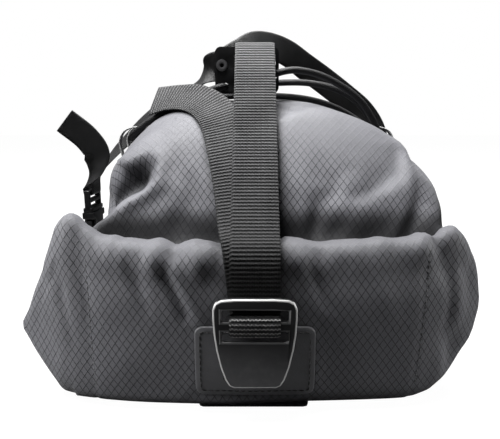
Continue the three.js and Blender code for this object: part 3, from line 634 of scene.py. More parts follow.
def coated(name, base):
    """Rubbery coated cloth: pebbled, with faint rubbed patches."""
    pebble = 1500
    m = Shader(name)
    grain = m.noise(pebble, rough=0.6)
    patches = m.noise(45, detail=4, rough=0.6)
    color = m.mix(m.ramp(patches, 0.3, 0.75), scaled(base, 0.85), scaled(base, 1.3))
    color = m.mix(edge_mask(m, 0.0009) * 0.35, color, scaled(base, 2.6))
    height = grain + m.voronoi(pebble * 0.7) * 0.6
    return m.finish(color, rough=m.ramp(patches, 0.25, 0.8, out=(0.46, 0.62)),
                    normal=m.bump(height, distance=0.00012, strength=0.6),
                    spec=0.45, sheen=0.02)


def plastic(name):
    """Moulded plastic: fine spark texture, slightly polished edges."""
    base = (0.012, 0.012, 0.013)
    m = Shader(name)
    patches = m.noise(70, detail=4, rough=0.6)
    edge = edge_mask(m, 0.0005)
    color = m.mix(m.ramp(patches, 0.3, 0.7), base, scaled(base, 1.5))
    color = m.mix(edge * 0.25, color, (0.11, 0.11, 0.115))
    return m.finish(color, rough=m.ramp(patches, 0.25, 0.8, out=(0.28, 0.42)) - edge * 0.08,
                    normal=m.bump(m.noise(2200, rough=0.6), distance=0.00008, strength=0.5),
                    spec=0.5)


def coated_metal(name):
    """Black satin coat over metal, with faint rubbed spots, darker towards the top."""
    m = Shader(name)
    patches = m.noise(60, detail=5, rough=0.6)
    rub = m.ramp(m.noise(240), 0.45, 0.8) * 0.05
    color = m.mix(m.ramp(patches, 0.3, 0.7), (0.052, 0.052, 0.055), (0.068, 0.068, 0.071))
    color = m.mix(rub * 0.80, color, (0.46, 0.45, 0.44))
    z = m.split(m.position)[2]
    color = m.mix(m.ramp(z, 0.020, 0.052), color, (0.014, 0.014, 0.015))
    return m.finish(color, metal=rub * 0.6 + 0.35,
                    rough=m.ramp(patches, 0.25, 0.8, out=(0.34, 0.46)),
                    normal=m.bump(m.noise(1800, rough=0.55), distance=0.00006, strength=0.45),
                    spec=0.5)


def rim_metal(name):
    """Plate edge with the coat polished through; the slots' edges stay mostly coated."""
    m = Shader(name)
    x, _, z = m.split(m.position)
    ends = m.ramp(m.math("ABSOLUTE", x), 0.0170, 0.0176)
    outer = m.max(ends, m.max(m.ramp(z, 0.0640, 0.0650), m.ramp(z, 0.0440, 0.0430)))
    grain = m.noise(900, detail=4, rough=0.6)
    bare = (outer * 0.92 + 0.08) * m.ramp(grain, 0.2, 0.5, out=(0.72, 1.0))
    return m.finish(m.mix(bare, (0.05, 0.05, 0.052), (0.46, 0.46, 0.455)), metal=bare * 0.60,
                    rough=m.ramp(grain, 0.3, 0.7, out=(0.38, 0.50)),
                    normal=m.bump(grain, distance=0.00004, strength=0.4))


def steel(name):
    """Bright plated steel with fine streaks."""
    base = (0.55, 0.55, 0.57)
    m = Shader(name)
    at = m.combine(m.noise(30, detail=1) * 8.0, m.noise(900, detail=2) * 30.0)
    streak = m.noise(1.0, rough=0.7, at=at)
    patches = m.noise(120, detail=4)
    return m.finish(m.mix(m.ramp(patches, 0.3, 0.7), scaled(base, 0.8), base), metal=1.0,
                    rough=streak * 0.12 + 0.23,
                    normal=m.bump(streak, distance=0.00003, strength=0.4))


def braid(name):
    """Braided elastic cord: two sets of helical yarns."""
    pitch_u, pitch_v = 1.15, 1.9    # mm
    m = Shader(name)
    u, v = m.uv
    yarns = [m.cos(m.math(cross, u / pitch_u, v / pitch_v) * TURN)
             for cross in ("ADD", "SUBTRACT")]
    height = m.max(*yarns) * 0.5 + 0.5
    fibre = m.fibres(4.0, 2.0)
    color = m.mix(height * m.ramp(fibre, 0.3, 0.7, out=(0.5, 1.0)),
                  (0.009, 0.009, 0.0095), (0.042, 0.042, 0.044))
    return m.finish(color, rough=0.58, spec=0.35, sheen=0.02,
                    normal=m.bump(height + fibre * 0.4, distance=0.00016, strength=0.7))


def fuzzy(name):
    """Hook-and-loop pile."""
    base = (0.010, 0.010, 0.011)
    m = Shader(name)
    grain = m.noise(1100, detail=4, rough=0.75)
    return m.finish(m.mix(m.ramp(grain, 0.35, 0.7), base, scaled(base, 4)), rough=0.95, sheen=0.5,
                    normal=m.bump(grain + m.voronoi(900), distance=0.0006, strength=0.9))


def sheet(name):
    """Pale stiffener sheet."""
    m = Shader(name)
    grain = m.noise(400, detail=4, rough=0.6)
    patches = m.noise(40, detail=4)
    color = m.mix(m.ramp(patches, 0.3, 0.7), (0.74, 0.74, 0.71), (0.84, 0.84, 0.81))
    return m.finish(color, rough=m.ramp(grain, 0.3, 0.7, out=(0.42, 0.6)), sub=0.05,
                    normal=m.bump(grain, distance=0.00008, strength=0.4))


def thread(name, base):
    m = Shader(name)
    grain = m.noise(3000, detail=2, rough=0.6)
    return m.finish(m.mix(m.ramp(grain, 0.3, 0.7), scaled(base, 0.6), scaled(base, 1.6)),
                    rough=0.6, sheen=0.3,
                    normal=m.bump(grain, distance=0.0001, strength=0.6))


MATERIALS = {
    # the ripstop cloths carry painted highlights on their yarns and painted shade in their creases
    "fabric": ripstop("ripstop"),
    # the shell's colour also carries a painted shade along the mouth
    "shell": ripstop("ripstop_body", mouth=True),
    "lining": ripstop("ripstop_inside", base=(0.045, 0.045, 0.048), line=(0.02, 0.02, 0.022),
                      painted_yarn_highlight=0.2),
    "panel": coated("panel_cloth", base=(0.052, 0.052, 0.056)),
    "panel_dark": coated("panel_dark", base=(0.022, 0.022, 0.024)),
    # the centre strap's colour carries painted shade below and painted highlights on its rear turn
    # and top
    "webbing": webbing("centre_webbing", painted_shading=True),
    "flat": flat_webbing("flat_webbing"),
    "webbing_grey": webbing("grey_tape", dark=(0.10, 0.10, 0.10), light=(0.36, 0.36, 0.36),
                            pitch=0.9),
    "plastic": plastic("moulded_black"),
    "buckle": coated_metal("coated_metal"),
    "rim": rim_metal("rubbed_rim"),
    "cord": braid("elastic_braid"),
    "hook_loop": fuzzy("hook_and_loop"),
    "sheet": sheet("stiffener_sheet"),
    "steel": steel("plated_steel"),
    "thread": thread("thread_black", base=(0.003, 0.003, 0.0033)),
    "thread_grey": thread("thread_grey", base=(0.20, 0.20, 0.20)),
}


def use(ob, *materials):
    ob.data.materials.clear()
    for key in materials:
        ob.data.materials.append(MATERIALS[key])


def register(ob, body, slot, *replaced):
    """Hide the CAD nodes the piece stands for and attach it to the body it rides; slot is not
    used.
    """
    if replaced:
        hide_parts(*replaced)
    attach(ob, body)


def piece(ob, body, material, slot, *replaced):
    use(ob, material)
    register(ob, body, slot, *replaced)
    return ob


# ------------------------------------------------------------------ main compartment: its form
# Stations: y, half width right and left, upper corner exponent right and left, bottom z, top z
BODY_Y, HALF_RIGHT, HALF_LEFT, EXP_RIGHT, EXP_LEFT, BOTTOM_Z, TOP_Z = np.array([
    (41.2, 106, 95, 5.5, 4, 5, 84),
    (46, 112, 99, 5.5, 4, 3.2, 106),
    (55, 111.5, 98.5, 5, 3.8, 2.8, 127),
    (65, 110, 97, 4.6, 3.3, 2.8, 144),
    (78, 106, 95, 3.8, 2.7, 2.8, 157),
    (95, 98, 95, 2.9, 2.8, 2.8, 163.5),
    (125, 97, 96, 2.9, 2.9, 2.8, 165),
    (160, 95, 95, 2.9, 2.9, 2.8, 162),
    (200, 88, 88, 2.9, 2.9, 2.8, 154),
    (240, 74, 74, 2.9, 2.9, 6, 143),
    (280, 56, 56, 2.9, 2.9, 14, 130),
    (315, 42, 42, 2.9, 2.9, 25, 118),
    (335, 34, 34, 2.9, 2.9, 32, 110),
]).T
REAR_Y, TIP_Y = BODY_Y[0], BODY_Y[-1]
LAST_ROW_Y = 334.2
BODY_SIDES = 240
SKIN_LOW_Z = 2.65        # the skin never sags below this
MOUTH_HALF = 79          # half width of the mouth opening


def body_point(y, angle, off=0.0):
    """Form point at station y and angle (radians, a quarter turn is the top), off outward."""
    y, angle, off = np.broadcast_arrays(np.asarray(y, float), np.asarray(angle, float),
                                        np.asarray(off, float))
    low, high = pchip(y, BODY_Y, BOTTOM_Z) - off, pchip(y, BODY_Y, TOP_Z) + off
    c, s = np.cos(angle), np.sin(angle)
    right = rise(-0.12, 0.12, c)
    half = right * pchip(y, BODY_Y, HALF_RIGHT) + (1 - right) * pchip(y, BODY_Y, HALF_LEFT) + off
    widest = low + 0.42 * (high - low)
    upper = right * pchip(y, BODY_Y, EXP_RIGHT) + (1 - right) * pchip(y, BODY_Y, EXP_LEFT)
    power = 2 / np.where(s >= 0, upper, 3.6)
    height = np.where(s >= 0, high - widest, widest - low)
    return np.stack([half * signed_power(c, power), y,
                     widest + height * signed_power(s, power)], -1)


def skin(y, degrees, off=0.0):
    return body_point(y, np.radians(degrees), off)


def side_angle(side, degrees):
    """An angle up from the side, on the right (1) or mirrored to the left (-1)."""
    return degrees if side > 0 else 180 - degrees


def polyline_distance(x, z, points):
    """Distance to a polyline in X-Z, its signed side (+ above or left) and the share along."""
    best = np.full(x.shape, 1e9)
    side, along = np.zeros(x.shape), np.zeros(x.shape)
    spans = len(points) - 1
    for k in range(spans):
        start = np.array(points[k], float)
        d = np.array(points[k + 1], float) - start
        t = np.clip(((x - start[0]) * d[0] + (z - start[1]) * d[1]) / np.hypot(*d)**2, 0, 1)
        ex, ez = x - (start[0] + t * d[0]), z - (start[1] + t * d[1])
        r = np.hypot(ex, ez)
        nearer = r < best
        best = np.where(nearer, r, best)
        side = np.where(nearer, np.sign(d[0] * ez - d[1] * ex), side)
        along = np.where(nearer, (k + t) / spans, along)
    return best, side, along


# Ridge beside the left shoulder and the edge behind the right one: (x, z)
LEFT_RIDGE = [(-92, 88), (-84, 97), (-73, 105), (-62, 111), (-56, 118), (-54, 127), (-57, 134)]
RIGHT_EDGE = [(86, 143), (92, 132), (96, 120), (97, 108)]
# Dents just over the roll: depth, x, x width, z, z width
BODY_DENTS = [(2.6, 34, 4.5, 97, 7), (1.8, 47, 5, 94, 6), (3.2, 90, 5, 97, 8),
              (2.0, -46, 9, 97, 8)]


def body_relief(points, y, degrees):
    """How far the cloth stands off the plain form, in mm: folds, hollows and slack."""
    x, z = points[..., 0], points[..., 2]
    r = np.zeros(x.shape)
    # deep bowl beside the left shoulder, along a firm ridge
    rear = fade(66, 84, y)
    dist, side, along = polyline_distance(x, z, LEFT_RIDGE)
    taper = np.abs(np.sin(np.clip(0.06 + 0.94 * along, 0.02, 1.0) * math.pi)) ** 0.55
    r += rear * taper * 2.6 * gauss(dist, 0, 4.6)
    r -= rear * taper * 14.5 * np.where(side > 0, gauss(dist, 12.0, 7.6), 0)
    # swollen out at the left shoulder, taken in at the right one
    r += 3.0 * gauss(z, 122, 17) * rise(-66, -92, x) * fade(78, 104, y) * rise(88, 96, z)
    r -= 4.2 * gauss(z, 152, 28) * rise(5, 104, x) * fade(118, 155, y)
    r -= np.clip((x - 89) * 0.30, 0, 1.8) * fade(80, 112, y) * rise(80, 96, z)
    # the gusset's edge at the right shoulder
    dist, side, along = polyline_distance(x, z, RIGHT_EDGE)
    r += fade(72, 92, y) * np.sin(along * math.pi) * 0.7 * gauss(dist, 0, 2.2)
    # cloth drawn down to the roll: tucked in along its edge, with a few puckers
    low = fade(46, 60, y)
    r -= 3.4 * fade(41.8, 45.6, y) * rise(76, 90, z)
    for depth, dent_x, width_x, dent_z, width_z in BODY_DENTS:
        r -= low * depth * gauss(x, dent_x, width_x) * gauss(z, dent_z, width_z)
    pucker = np.sin(x / 7.3 + 0.8 * np.sin(x / 19)) + 0.6 * np.sin(x / 4.1 + 1.0)
    r += low * 0.35 * pucker * rise(70, 86, z)
    # shallow pulls that fan out from the centre strap, and the hollow under it
    top = rise(0.2, 0.8, np.sin(np.radians(degrees)))
    r += 0.2 * top * fade(60, 112, y) * np.sin(x / 9.2 + y / 31) * rise(20, 40, np.abs(x))
    r -= 1.6 * gauss(x, -2, 17) * fade(60, 92, y) * rise(40, 52, y)
    return r


def body_freedom(points, y, degrees):
    """1 where nothing is sewn on, 0 where attached parts or the floor need the plain form."""
    x, z = points[..., 0], points[..., 2]
    signed = np.where(degrees > 180, degrees - 360, degrees)
    mirrored = np.where(signed >= 0, 180 - signed, -180 - signed)
    up = np.where(np.cos(np.radians(signed)) > 0, signed, mirrored)    # angle up from the side
    free = 1 - rise(112, 124, y) * fade(196, 208, y) * rise(-50, -42, up) * fade(22, 32, up)
    free *= 1 - gauss(y, BUCKLE_Y, 20) * gauss(z, 45, 34) * 0.9
    for loop_y in LOOPS.values():
        free *= 1 - 0.92 * gauss(y, loop_y, 9) * gauss(up, LOOP_ANGLE, 24)
    # the hub and the cord lock on the centre line
    for part_y, width in ((100, 22), (LOCK_Y, 16)):
        free *= 1 - 0.9 * gauss(y, part_y, width) * gauss(x, 0, 16)
    free *= rise(3.5, 12, z)
    free *= fade(310, 322, y)
    return free


def keep_above_floor(points):
    points[..., 2] = np.maximum(points[..., 2], SKIN_LOW_Z)
    return points


def form_body(row_y):
    """Plain form, its normals and girths, the relieved skin and its freedom to move."""
    angles, girths = zip(*(even_angles(lambda a: body_point(y, a), 1441, BODY_SIDES)
                           for y in row_y))
    angles = np.array(angles)
    form = np.array([body_point(y, a) for y, a in zip(row_y, angles)])
    normals = outward_normals(form, np.array([0, 0, 72.0]), (1, 0, 1))
    x, z = form[..., 0], form[..., 2]
    y = np.repeat(row_y[:, None], BODY_SIDES, 1)
    relief = body_relief(form, y, np.degrees(angles))
    freedom = body_freedom(form, y, np.degrees(angles))
    # general slack, calmer near the rear and on its right
    broad = fbm(x / 26 + 0.013 * y, y / 34, 2.7, 3)
    fine = fbm(z / 20 + x / 60, y / 24, 9.1, 2) * np.abs(np.cos(angles)) ** 2
    near_rear = fade(112, 150, y)
    slack = ((0.8 - 0.25 * near_rear - 0.35 * near_rear * (x > 12)) * broad
             + (0.7 + 0.7 * (y > 205)) * fine)
    stand_off = np.minimum(relief + slack * freedom, 3.0)
    return form, normals, girths, keep_above_floor(form + normals * stand_off[..., None]), freedom


def cloth_settle(surface, freedom):
    """How far each point moves when the skin settles as pinned cloth under air pressure."""
    row_step, side_step, frames = 2, 3, 18
    furthest = 3.2    # mm
    count, sides = surface.shape[:2]
    rows = [*range(0, count - 1, row_step), count - 1]
    columns = list(range(0, sides, side_step))
    coarse = surface[np.ix_(rows, columns)]
    ob = new_mesh("cloth_sim", coarse.reshape(-1, 3), grid_faces(len(rows), len(columns)))
    pin = np.clip((1 - freedom[np.ix_(rows, columns)]) * 1.3, 0, 1)
    pin[0] = pin[-1] = 1
    group = ob.vertex_groups.new(name="pin")
    for k, weight in enumerate(pin.ravel()):
        group.add([k], float(weight), "REPLACE")
    cloth = ob.modifiers.new("Cloth", "CLOTH")
    settings = dict(quality=5, mass=0.12, tension_stiffness=22, compression_stiffness=22,
                    shear_stiffness=8, bending_stiffness=0.6, use_pressure=True,
                    uniform_pressure_force=3.0, vertex_group_mass="pin", shrink_min=-0.035)
    for key, value in settings.items():
        setattr(cloth.settings, key, value)
    cloth.settings.effector_weights.gravity = 0
    cloth.collision_settings.use_collision = False
    scene = bpy.context.scene
    scene.frame_start = 1
    for frame in range(1, frames + 1):
        scene.frame_set(frame)
    evaluated = ob.evaluated_get(bpy.context.evaluated_depsgraph_get())
    mesh = evaluated.to_mesh()
    flat = np.empty(len(mesh.vertices) * 3, np.float32)
    mesh.vertices.foreach_get("co", flat)
    evaluated.to_mesh_clear()
    settled = flat.reshape(coarse.shape).astype(float) * 1000
    settled[..., 1] += FRAME_Y
    bpy.data.objects.remove(ob, do_unlink=True)
    scene.frame_set(1)
    shift = settled - coarse
    # a simulation that blew up leaves the skin as it was
    if not np.isfinite(shift).all():
        return np.zeros_like(surface)
    length = np.linalg.norm(shift, axis=-1, keepdims=True)
    shift = shift * (furthest * np.tanh(length / furthest) / np.maximum(length, 1e-9))
    # back up to the full grid, then smoothed
    wrapped = np.concatenate([shift, shift[:, :1]], 1)
    wide = np.stack([np.stack([np.interp(np.arange(sides), columns + [sides], row[:, k])
                               for k in range(3)], 1) for row in wrapped])
    full = np.stack([np.stack([np.interp(np.arange(count), rows, wide[:, j, k])
                               for k in range(3)], 1) for j in range(sides)], 1)
    for _ in range(2):
        full = 0.5 * full + 0.125 * (np.roll(full, 1, 1) + np.roll(full, -1, 1)
                                     + np.concatenate([full[:1], full[:-1]])
                                     + np.concatenate([full[1:], full[-1:]]))
    return full


def make_shell():
    """One closed shell: nose, outer skin, rear wall, mouth lip and lining."""
    # rows lie closer together towards the rear
    row_y = np.concatenate([np.linspace(REAR_Y, 50, 12), np.linspace(51, 60, 8),
                            np.linspace(61.6, 130, 46), np.linspace(132.2, 240, 52),
                            np.linspace(243, LAST_ROW_Y, 34)])
    form, normals, girths, outside, freedom = form_body(row_y)
    outside = keep_above_floor(outside + cloth_settle(outside, freedom))
    count = len(row_y)
    rows, around, along = [], [], []

    def add(ring, girth, v, y=None):
        if y is not None:
            ring[:, 1] = y
        rows.append(ring)
        around.append((np.arange(BODY_SIDES + 1) / BODY_SIDES - 0.5) * girth)
        along.append(v)

    forward = path_length(form[:, BODY_SIDES // 2])
    tip = outside[-1]
    centre = tip.mean(0)
    # (share of the last row, how far in front of it)
    for k, dy in [(0.02, 0.8), (0.3, 0.8), (0.6, 0.8), (0.85, 0.75), (0.95, 0.6), (0.985, 0.35)]:
        add(centre + (tip - centre) * k, girths[-1] * k, forward[-1] + (1 - k) * 30,
            LAST_ROW_Y + dy)
    for i in range(count - 1, -1, -1):
        add(outside[i], girths[i], forward[i])

    # rear wall in to the mouth
    first_angles = even_angles(lambda a: body_point(REAR_Y, a), 1441, BODY_SIDES)[0]
    mouth = oval(first_angles, REAR_Y, MOUTH_HALF, 23, 73, exponent=7)
    girth = girths[0]
    v = 0.0
    for k in (0.12, 0.3, 0.55, 0.8, 1.0):
        v -= 8
        add(outside[0] * (1 - k) + mouth * k, girth * (1 - 0.4 * k), v,
            REAR_Y + 0.6 * math.sin(k * math.pi))
    lining_start = len(rows) + 1
    # over the lip: (forward, narrower)
    for dy, inset in ((0.9, 0.15), (2.0, 0.3)):
        v -= 2
        add(mouth * np.array([1 - inset / MOUTH_HALF, 1, 1]), girth * 0.6, v, REAR_Y + dy)
    # out to the lining and forward along it
    lining = 3.2
    for k in (0.4, 0.75, 1.0):
        v -= 8
        ring = mouth * (1 - k) + (outside[1] - normals[1] * lining) * k
        y = np.maximum(43.6 + k, (1 - k) * 43.6 + k * (outside[1][:, 1] + 2.6))
        add(ring, girth * (0.6 + 0.4 * k), v, y)
    for i in [*range(3, 40), *range(40, 75, 3), *range(75, count - 3, 6)]:
        v -= 3
        add(outside[i] - normals[i] * (lining if i < 60 else 2.6), girths[i], v)
    last = rows[-1]
    centre = last.mean(0)
    for k in (0.7, 0.3, 0.03):
        v -= 10
        add(centre + (last - centre) * k, girths[-1] * k, v, 331.5)

    ob = ring_tube("bag_shell", np.array(rows), np.array(around), np.array(along)[:, None])
    use(ob, "shell", "lining")
    slots = np.zeros(len(ob.data.polygons), np.int32)
    slots[lining_start * BODY_SIDES:(len(rows) - 1) * BODY_SIDES] = 1
    ob.data.polygons.foreach_set("material_index", slots)
    register(ob, "bag", "fabric", "main_body")


make_shell()

# ------------------------------------------------------------------ the rolled mouth
# Stations: x, bottom z, top z, y of the rear face, depth
ROLL_X, ROLL_LOW, ROLL_HIGH, ROLL_REAR, ROLL_DEPTH = np.array([
    (-131, 36.5, 42.5, 35.5, 4), (-126, 28, 51, 33, 6.5), (-120, 19, 64.5, 30, 9),
    (-113, 9.5, 80, 26.5, 12.5), (-107, 3.4, 93.5, 23, 16.5), (-103, 3, 102, 21, 18.5),
    (-98, 2.9, 104.5, 19, 20), (-88, 2.8, 99.5, 16.5, 22), (-80, 2.8, 94, 14.5, 24),
    (-65, 2.8, 91.5, 12, 26.5), (-50, 2.8, 91, 10.5, 28), (0, 2.8, 91.5, 9, 28),
    (50, 2.8, 92.5, 10.5, 28), (80, 2.8, 93.5, 13.5, 25), (95, 5, 96, 18.5, 20.5),
    (105, 10, 96.5, 23, 16), (112, 16, 91.5, 27, 12.5), (118, 26, 83, 30.5, 9),
    (122, 34, 74, 33, 6.5), (125, 48, 58, 35, 4),
]).T
ROLL_TABLES = (ROLL_LOW, ROLL_HIGH, ROLL_REAR, ROLL_DEPTH)
ROLL_EXPONENT = 3.4
ROLL_SIDES = 168
# Seams near both ends: side, x at z = 50, lean in x per z, first and last z of the thread
ROLL_SEAMS = [("left", -87.5, -0.02, 12, 86), ("right", 86.5, 0.05, 14, 90)]
# Lumps in the gathered top: height, x, x width, distance under the top, its width
ROLL_LUMPS = [(2.4, -51, 5.0, 8, 6.5), (-2.6, -42, 3.8, 3, 7), (2.6, -28, 5.5, 8, 7.5),
              (-1.8, -18, 3.0, 4, 7), (1.9, 23, 6.0, 9, 5.5), (-1.5, 33, 4.5, 5, 6),
              (0.9, 44, 7.0, 5, 6), (1.8, 86, 5.5, 6, 6.5), (-2.4, 94, 3.0, 2, 6),
              (1.2, 101, 4.5, 4, 8), (-1.2, -80, 6, 3, 6)]
# Slanting creases: height, x and z at the top, x and z at the bottom, width
ROLL_CREASES = [(-2.3, -48, 82, -32, 48, 3.0), (1.3, -42, 80, -25, 50, 3.6),
                (-1.2, -64, 84, -55, 58, 3.4), (-1.5, 28, 82, 37, 60, 3.6),
                (0.9, 60, 84, 70, 52, 5.0), (-1.3, 98, 86, 104, 50, 3.4),
                (1.4, 108, 80, 108, 40, 4.0), (-1.3, -104, 82, -99, 38, 3.4),
                (1.4, -112, 72, -106, 34, 4.2), (-1.0, -93, 86, -84, 52, 4.0)]


def roll_face(x, z):
    """Y of the plain rear face of the roll."""
    low, high, rear, depth = (np.interp(x, ROLL_X, table) for table in ROLL_TABLES)
    q = np.minimum(1, np.abs((z - (low + high) / 2) / ((high - low) / 2)))
    bulge = (1 - q ** ROLL_EXPONENT) ** (1 / ROLL_EXPONENT)
    return rear + depth / 2 - (depth / 2) * bulge


def roll_section(x, angles):
    low, high, rear, depth = (float(pchip(x, ROLL_X, table)) for table in ROLL_TABLES)
    power = 2 / ROLL_EXPONENT
    return np.stack([np.full(angles.shape, x),
                     rear + depth / 2 - (depth / 2) * signed_power(np.cos(angles), power),
                     (low + high) / 2 + (high - low) / 2 * signed_power(np.sin(angles), power)], 1)


def roll_relief(form):
    """How far the rolled cloth stands off its plain form, in mm."""
    x, y, z = form[..., 0], form[..., 1], form[..., 2]
    low, high, rear_y, depth = (pchip(x, ROLL_X, table) for table in ROLL_TABLES)
    inward = (y - rear_y) / np.maximum(depth, 1)
    rear = fade(0.25, 0.75, inward)    # 1 on the face that looks back
    thick = rise(5, 16, depth)
    under_top = high - z
    fine = fbm(x / 9, z / 26, 7.7, 2)
    # gathered bead along the top
    ripple = np.sin(x / 4.3 + 2.2 * np.sin(x / 15.0) + 1.4 * np.sin(x / 37.0))
    gather = ((0.45 * ripple + 1.1 * fbm(x / 17, z / 40, 4.4, 3) + 0.8 * fine)
              * gauss(under_top, 0, 17.0))
    bead = 0.35 * gauss(under_top, 6.0, 6.0) * rear - 0.6 * gauss(under_top, 19.0, 7.0) * rear
    lumps = sum(size * gauss(x, lump_x, width) * gauss(under_top, drop, height)
                for size, lump_x, width, drop, height in ROLL_LUMPS)
    wave = (0.9 * fbm(x / 44, z / 38, 1.1, 2) * (1 - gauss(x, 0, 38) * gauss(z, 31, 30))
            * rise(6, 16, z))
    # pulled in behind the strap at the middle
    pull = -1.6 * gauss(x, -1, 15.5) * rise(50, 75, z) * rear
    creases = 0
    for size, top_x, top_z, end_x, end_z, width in ROLL_CREASES:
        t = np.clip((top_z - z) / (top_z - end_z), -0.2, 1.2)
        swell = np.clip(np.sin(math.pi * np.clip((t + 0.2) / 1.4, 0, 1)), 0, 1)
        creases = creases + rear * size * gauss(x, top_x + (end_x - top_x) * t, width) * swell
    seams = sum(-0.34 * gauss(x - seam_x - lean * (z - 50), 0, 1.1)
                for _, seam_x, lean, _, _ in ROLL_SEAMS)
    ears = (rise(-96, -106, x) + rise(94, 104, x)) * (0.9 * np.sin(z / 6.5 + x / 9) + 0.9 * fine)
    lower_corner = 1.5 * fade(-20, 30, x) * gauss(z - low, 3.0, 5.0) * fade(0.35, 0.9, inward)
    r = (gather + bead + lumps + wave + pull + creases + ears + lower_corner) * thick
    r = r + seams * rise(8, 12, depth)
    # calm under the buckle patch
    patch = gauss(x, 0, 33) ** 0.5 * rise(56, 50, z) * rise(7, 11, z) * (np.abs(x) < 36)
    r = r * (1 - np.clip(patch * 1.4, 0, 1) * rear)
    # limits: left end, underside of the right end, overall, then the forward face
    r = np.where(x < -99, np.minimum(r, 0.2), r)
    r = r - 2.2 * rise(96, 112, x) * fade(30, 46, z) * thick
    r = np.clip(r, -4.5, 2.6)
    r = np.where(rear < 0.5, np.minimum(r, 1.4), r)
    # leave the centre strap its room
    under_strap = (np.abs(x + 1) < 15) & (z > 52)
    return np.where(under_strap & (r > 0.1), 0.1 + 0.15 * (r - 0.1), r)


def form_roll():
    """Stations in x, the plain form, the relieved skin and the girth at each station."""
    xs = np.concatenate([[-131, -130.2, -128.8, -127], np.arange(-125.5, 122.2, 1.7),
                         [122.8, 124, 124.7, 125]])
    form, girths = [], []
    for x in xs:
        angles, girth = even_angles(lambda a: roll_section(x, a), 1081, ROLL_SIDES)
        form.append(roll_section(x, angles))
        girths.append(girth)
    form = np.array(form)
    normals = outward_normals(form, form.mean(1, keepdims=True), (0, 1, 1))
    cloth = form + normals * roll_relief(form)[..., None]
    cloth[..., 2] = np.maximum(cloth[..., 2], np.where(cloth[..., 0] > -36, 2.6, 1.0))
    return xs, form, cloth, girths


ROLL_ROWS_X, ROLL_FORM, ROLL_CLOTH, ROLL_GIRTHS = form_roll()


def make_roll():
    xs = ROLL_ROWS_X
    rear = pchip(xs, ROLL_X, ROLL_REAR)
    u = np.concatenate([[0], np.cumsum(np.hypot(np.diff(xs), np.diff(rear)))])
    u -= np.interp(0, xs, u)
    # V is level at this height all along the rear face
    level = 45.0
    v = []
    for row, girth in zip(ROLL_FORM, ROLL_GIRTHS):
        s = np.arange(ROLL_SIDES + 1) / ROLL_SIDES * girth
        top = int(np.argmax(row[:, 2])) + 1
        z = row[:top, 2]
        nearest = float(np.clip(level, z[0], z[-1]))
        v.append(s - (np.interp(nearest, z, s[:top]) + level - nearest))
    ob = ring_tube("roll_cloth", ROLL_CLOTH, u[:, None], np.array(v))
    piece(ob, "closure_roll", "fabric", "fabric", "closure_roll")


def roll_surface(x, z):
    """Y of the relieved rear face of the roll."""
    i = np.clip(np.interp(x, ROLL_ROWS_X, np.arange(len(ROLL_ROWS_X))), 0,
                len(ROLL_ROWS_X) - 1.001)
    k = int(i)
    row = ROLL_CLOTH[k] * (1 - (i - k)) + ROLL_CLOTH[k + 1] * (i - k)
    rear = row[row[:, 1] < row[:, 1].mean()]
    rear = rear[np.argsort(rear[:, 2])]
    return float(np.interp(z, rear[:, 2], rear[:, 1]))


def make_seam_threads():
    """Thread just to the right of each seam groove."""
    for side, seam_x, lean, first_z, last_z in ROLL_SEAMS:
        points = []
        for z in np.linspace(first_z, last_z, 60):
            x = seam_x + lean * (z - 50) + 1.3
            points.append((x, roll_surface(x, z), z))
        ob = stitches("seam_thread_" + side, points, np.tile([0, -1.0, 0], (60, 1)),
                      length=1.5, gap=1.5, radius=0.17, lift=0.05)
        piece(ob, "closure_roll", "thread_grey", "webbing")


def make_sleeve():
    """Sleeve of cloth between the compartment's mouth and the roll."""
    sides, cloth = 120, 0.7
    # y, half width, bottom z, top z
    stations = [(72, 70, 30, 66), (66, 72, 29, 67), (60, 73, 28, 68), (54, 74, 27.5, 68.5),
                (48, 74.5, 27, 69), (44, 74.5, 27, 69), (41.5, 74, 27.5, 68.5),
                (39.5, 73, 28, 68), (37.8, 70, 29, 67)]
    outside = [oval(full_turn(sides), *station, exponent=5) for station in stations]
    inside = []
    for ring in outside[::-1]:
        out = ring - ring.mean(0)
        out[:, 1] = 0
        inside.append(ring - unit(out) * cloth)
    rings = np.array(outside + inside)
    count = len(rings)
    faces = grid_faces(count, sides, close_rings=True)
    uv = np.stack([np.tile(np.arange(sides) * 2.6, count),
                   np.repeat(np.arange(count) * 5.0, sides)], 1)
    ob = new_mesh("mouth_sleeve", rings.reshape(-1, 3), faces, uv[np.array(faces).ravel()])
    use(ob, "fabric")
    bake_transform(ob)


make_roll()
make_seam_threads()
make_sleeve()

# ------------------------------------------------------------------ flat sewn pieces
# Sizes: width, height, corner radius
PATCH_SIZE = (62, 39, 4.5)
PATCH_Z = 31
PATCH_TOP = 1.68         # stitches and slit lie at this height on the buckle patch
FLANK_SIZE = (70, 106, 9)


def patch_surface(a, b, off):
    z = PATCH_Z + b
    return np.array([a, roll_face(a, z) - off, z])


def make_buckle_patch():
    patch = pad("buckle_patch", PATCH_SIZE, patch_surface, thick=1.3, lift=0.4, rings=12)
    piece(patch, "closure_roll", "panel", "panel", "hook_patch")
    line = pad_stitches("buckle_patch_thread", PATCH_SIZE, patch_surface, PATCH_TOP,
                        inset=2.9, length=2.6, gap=0.8, radius=0.42)
    piece(line, "closure_roll", "thread", "webbing")
    slit = pad("patch_slit", (6.0, 1.7, 0.8),
               lambda a, b, off: patch_surface(a - 13.8, b - 9.0 + 0.12 * a, off),
               thick=0.45, lift=PATCH_TOP, rings=3, edge=0.1)
    piece(slit, "closure_roll", "thread", "panel")


def make_flank_patches():
    span = 60 / FLANK_SIZE[1]    # degrees per mm of height
    for sign, side in SIDES:
        def surface(a, b, off):
            return skin(160 + a, side_angle(sign, -10 + b * span), off)

        patch = pad("flank_patch_" + side, FLANK_SIZE, surface, thick=1.35, lift=0.35, rings=18)
        piece(patch, "bag", "panel_dark", "panel", "flank_panel_" + side)
        line = pad_stitches("flank_thread_" + side, FLANK_SIZE, surface, 1.75,
                            inset=3.0, length=2.8, gap=1.2, radius=0.3)
        piece(line, "bag", "thread", "webbing")


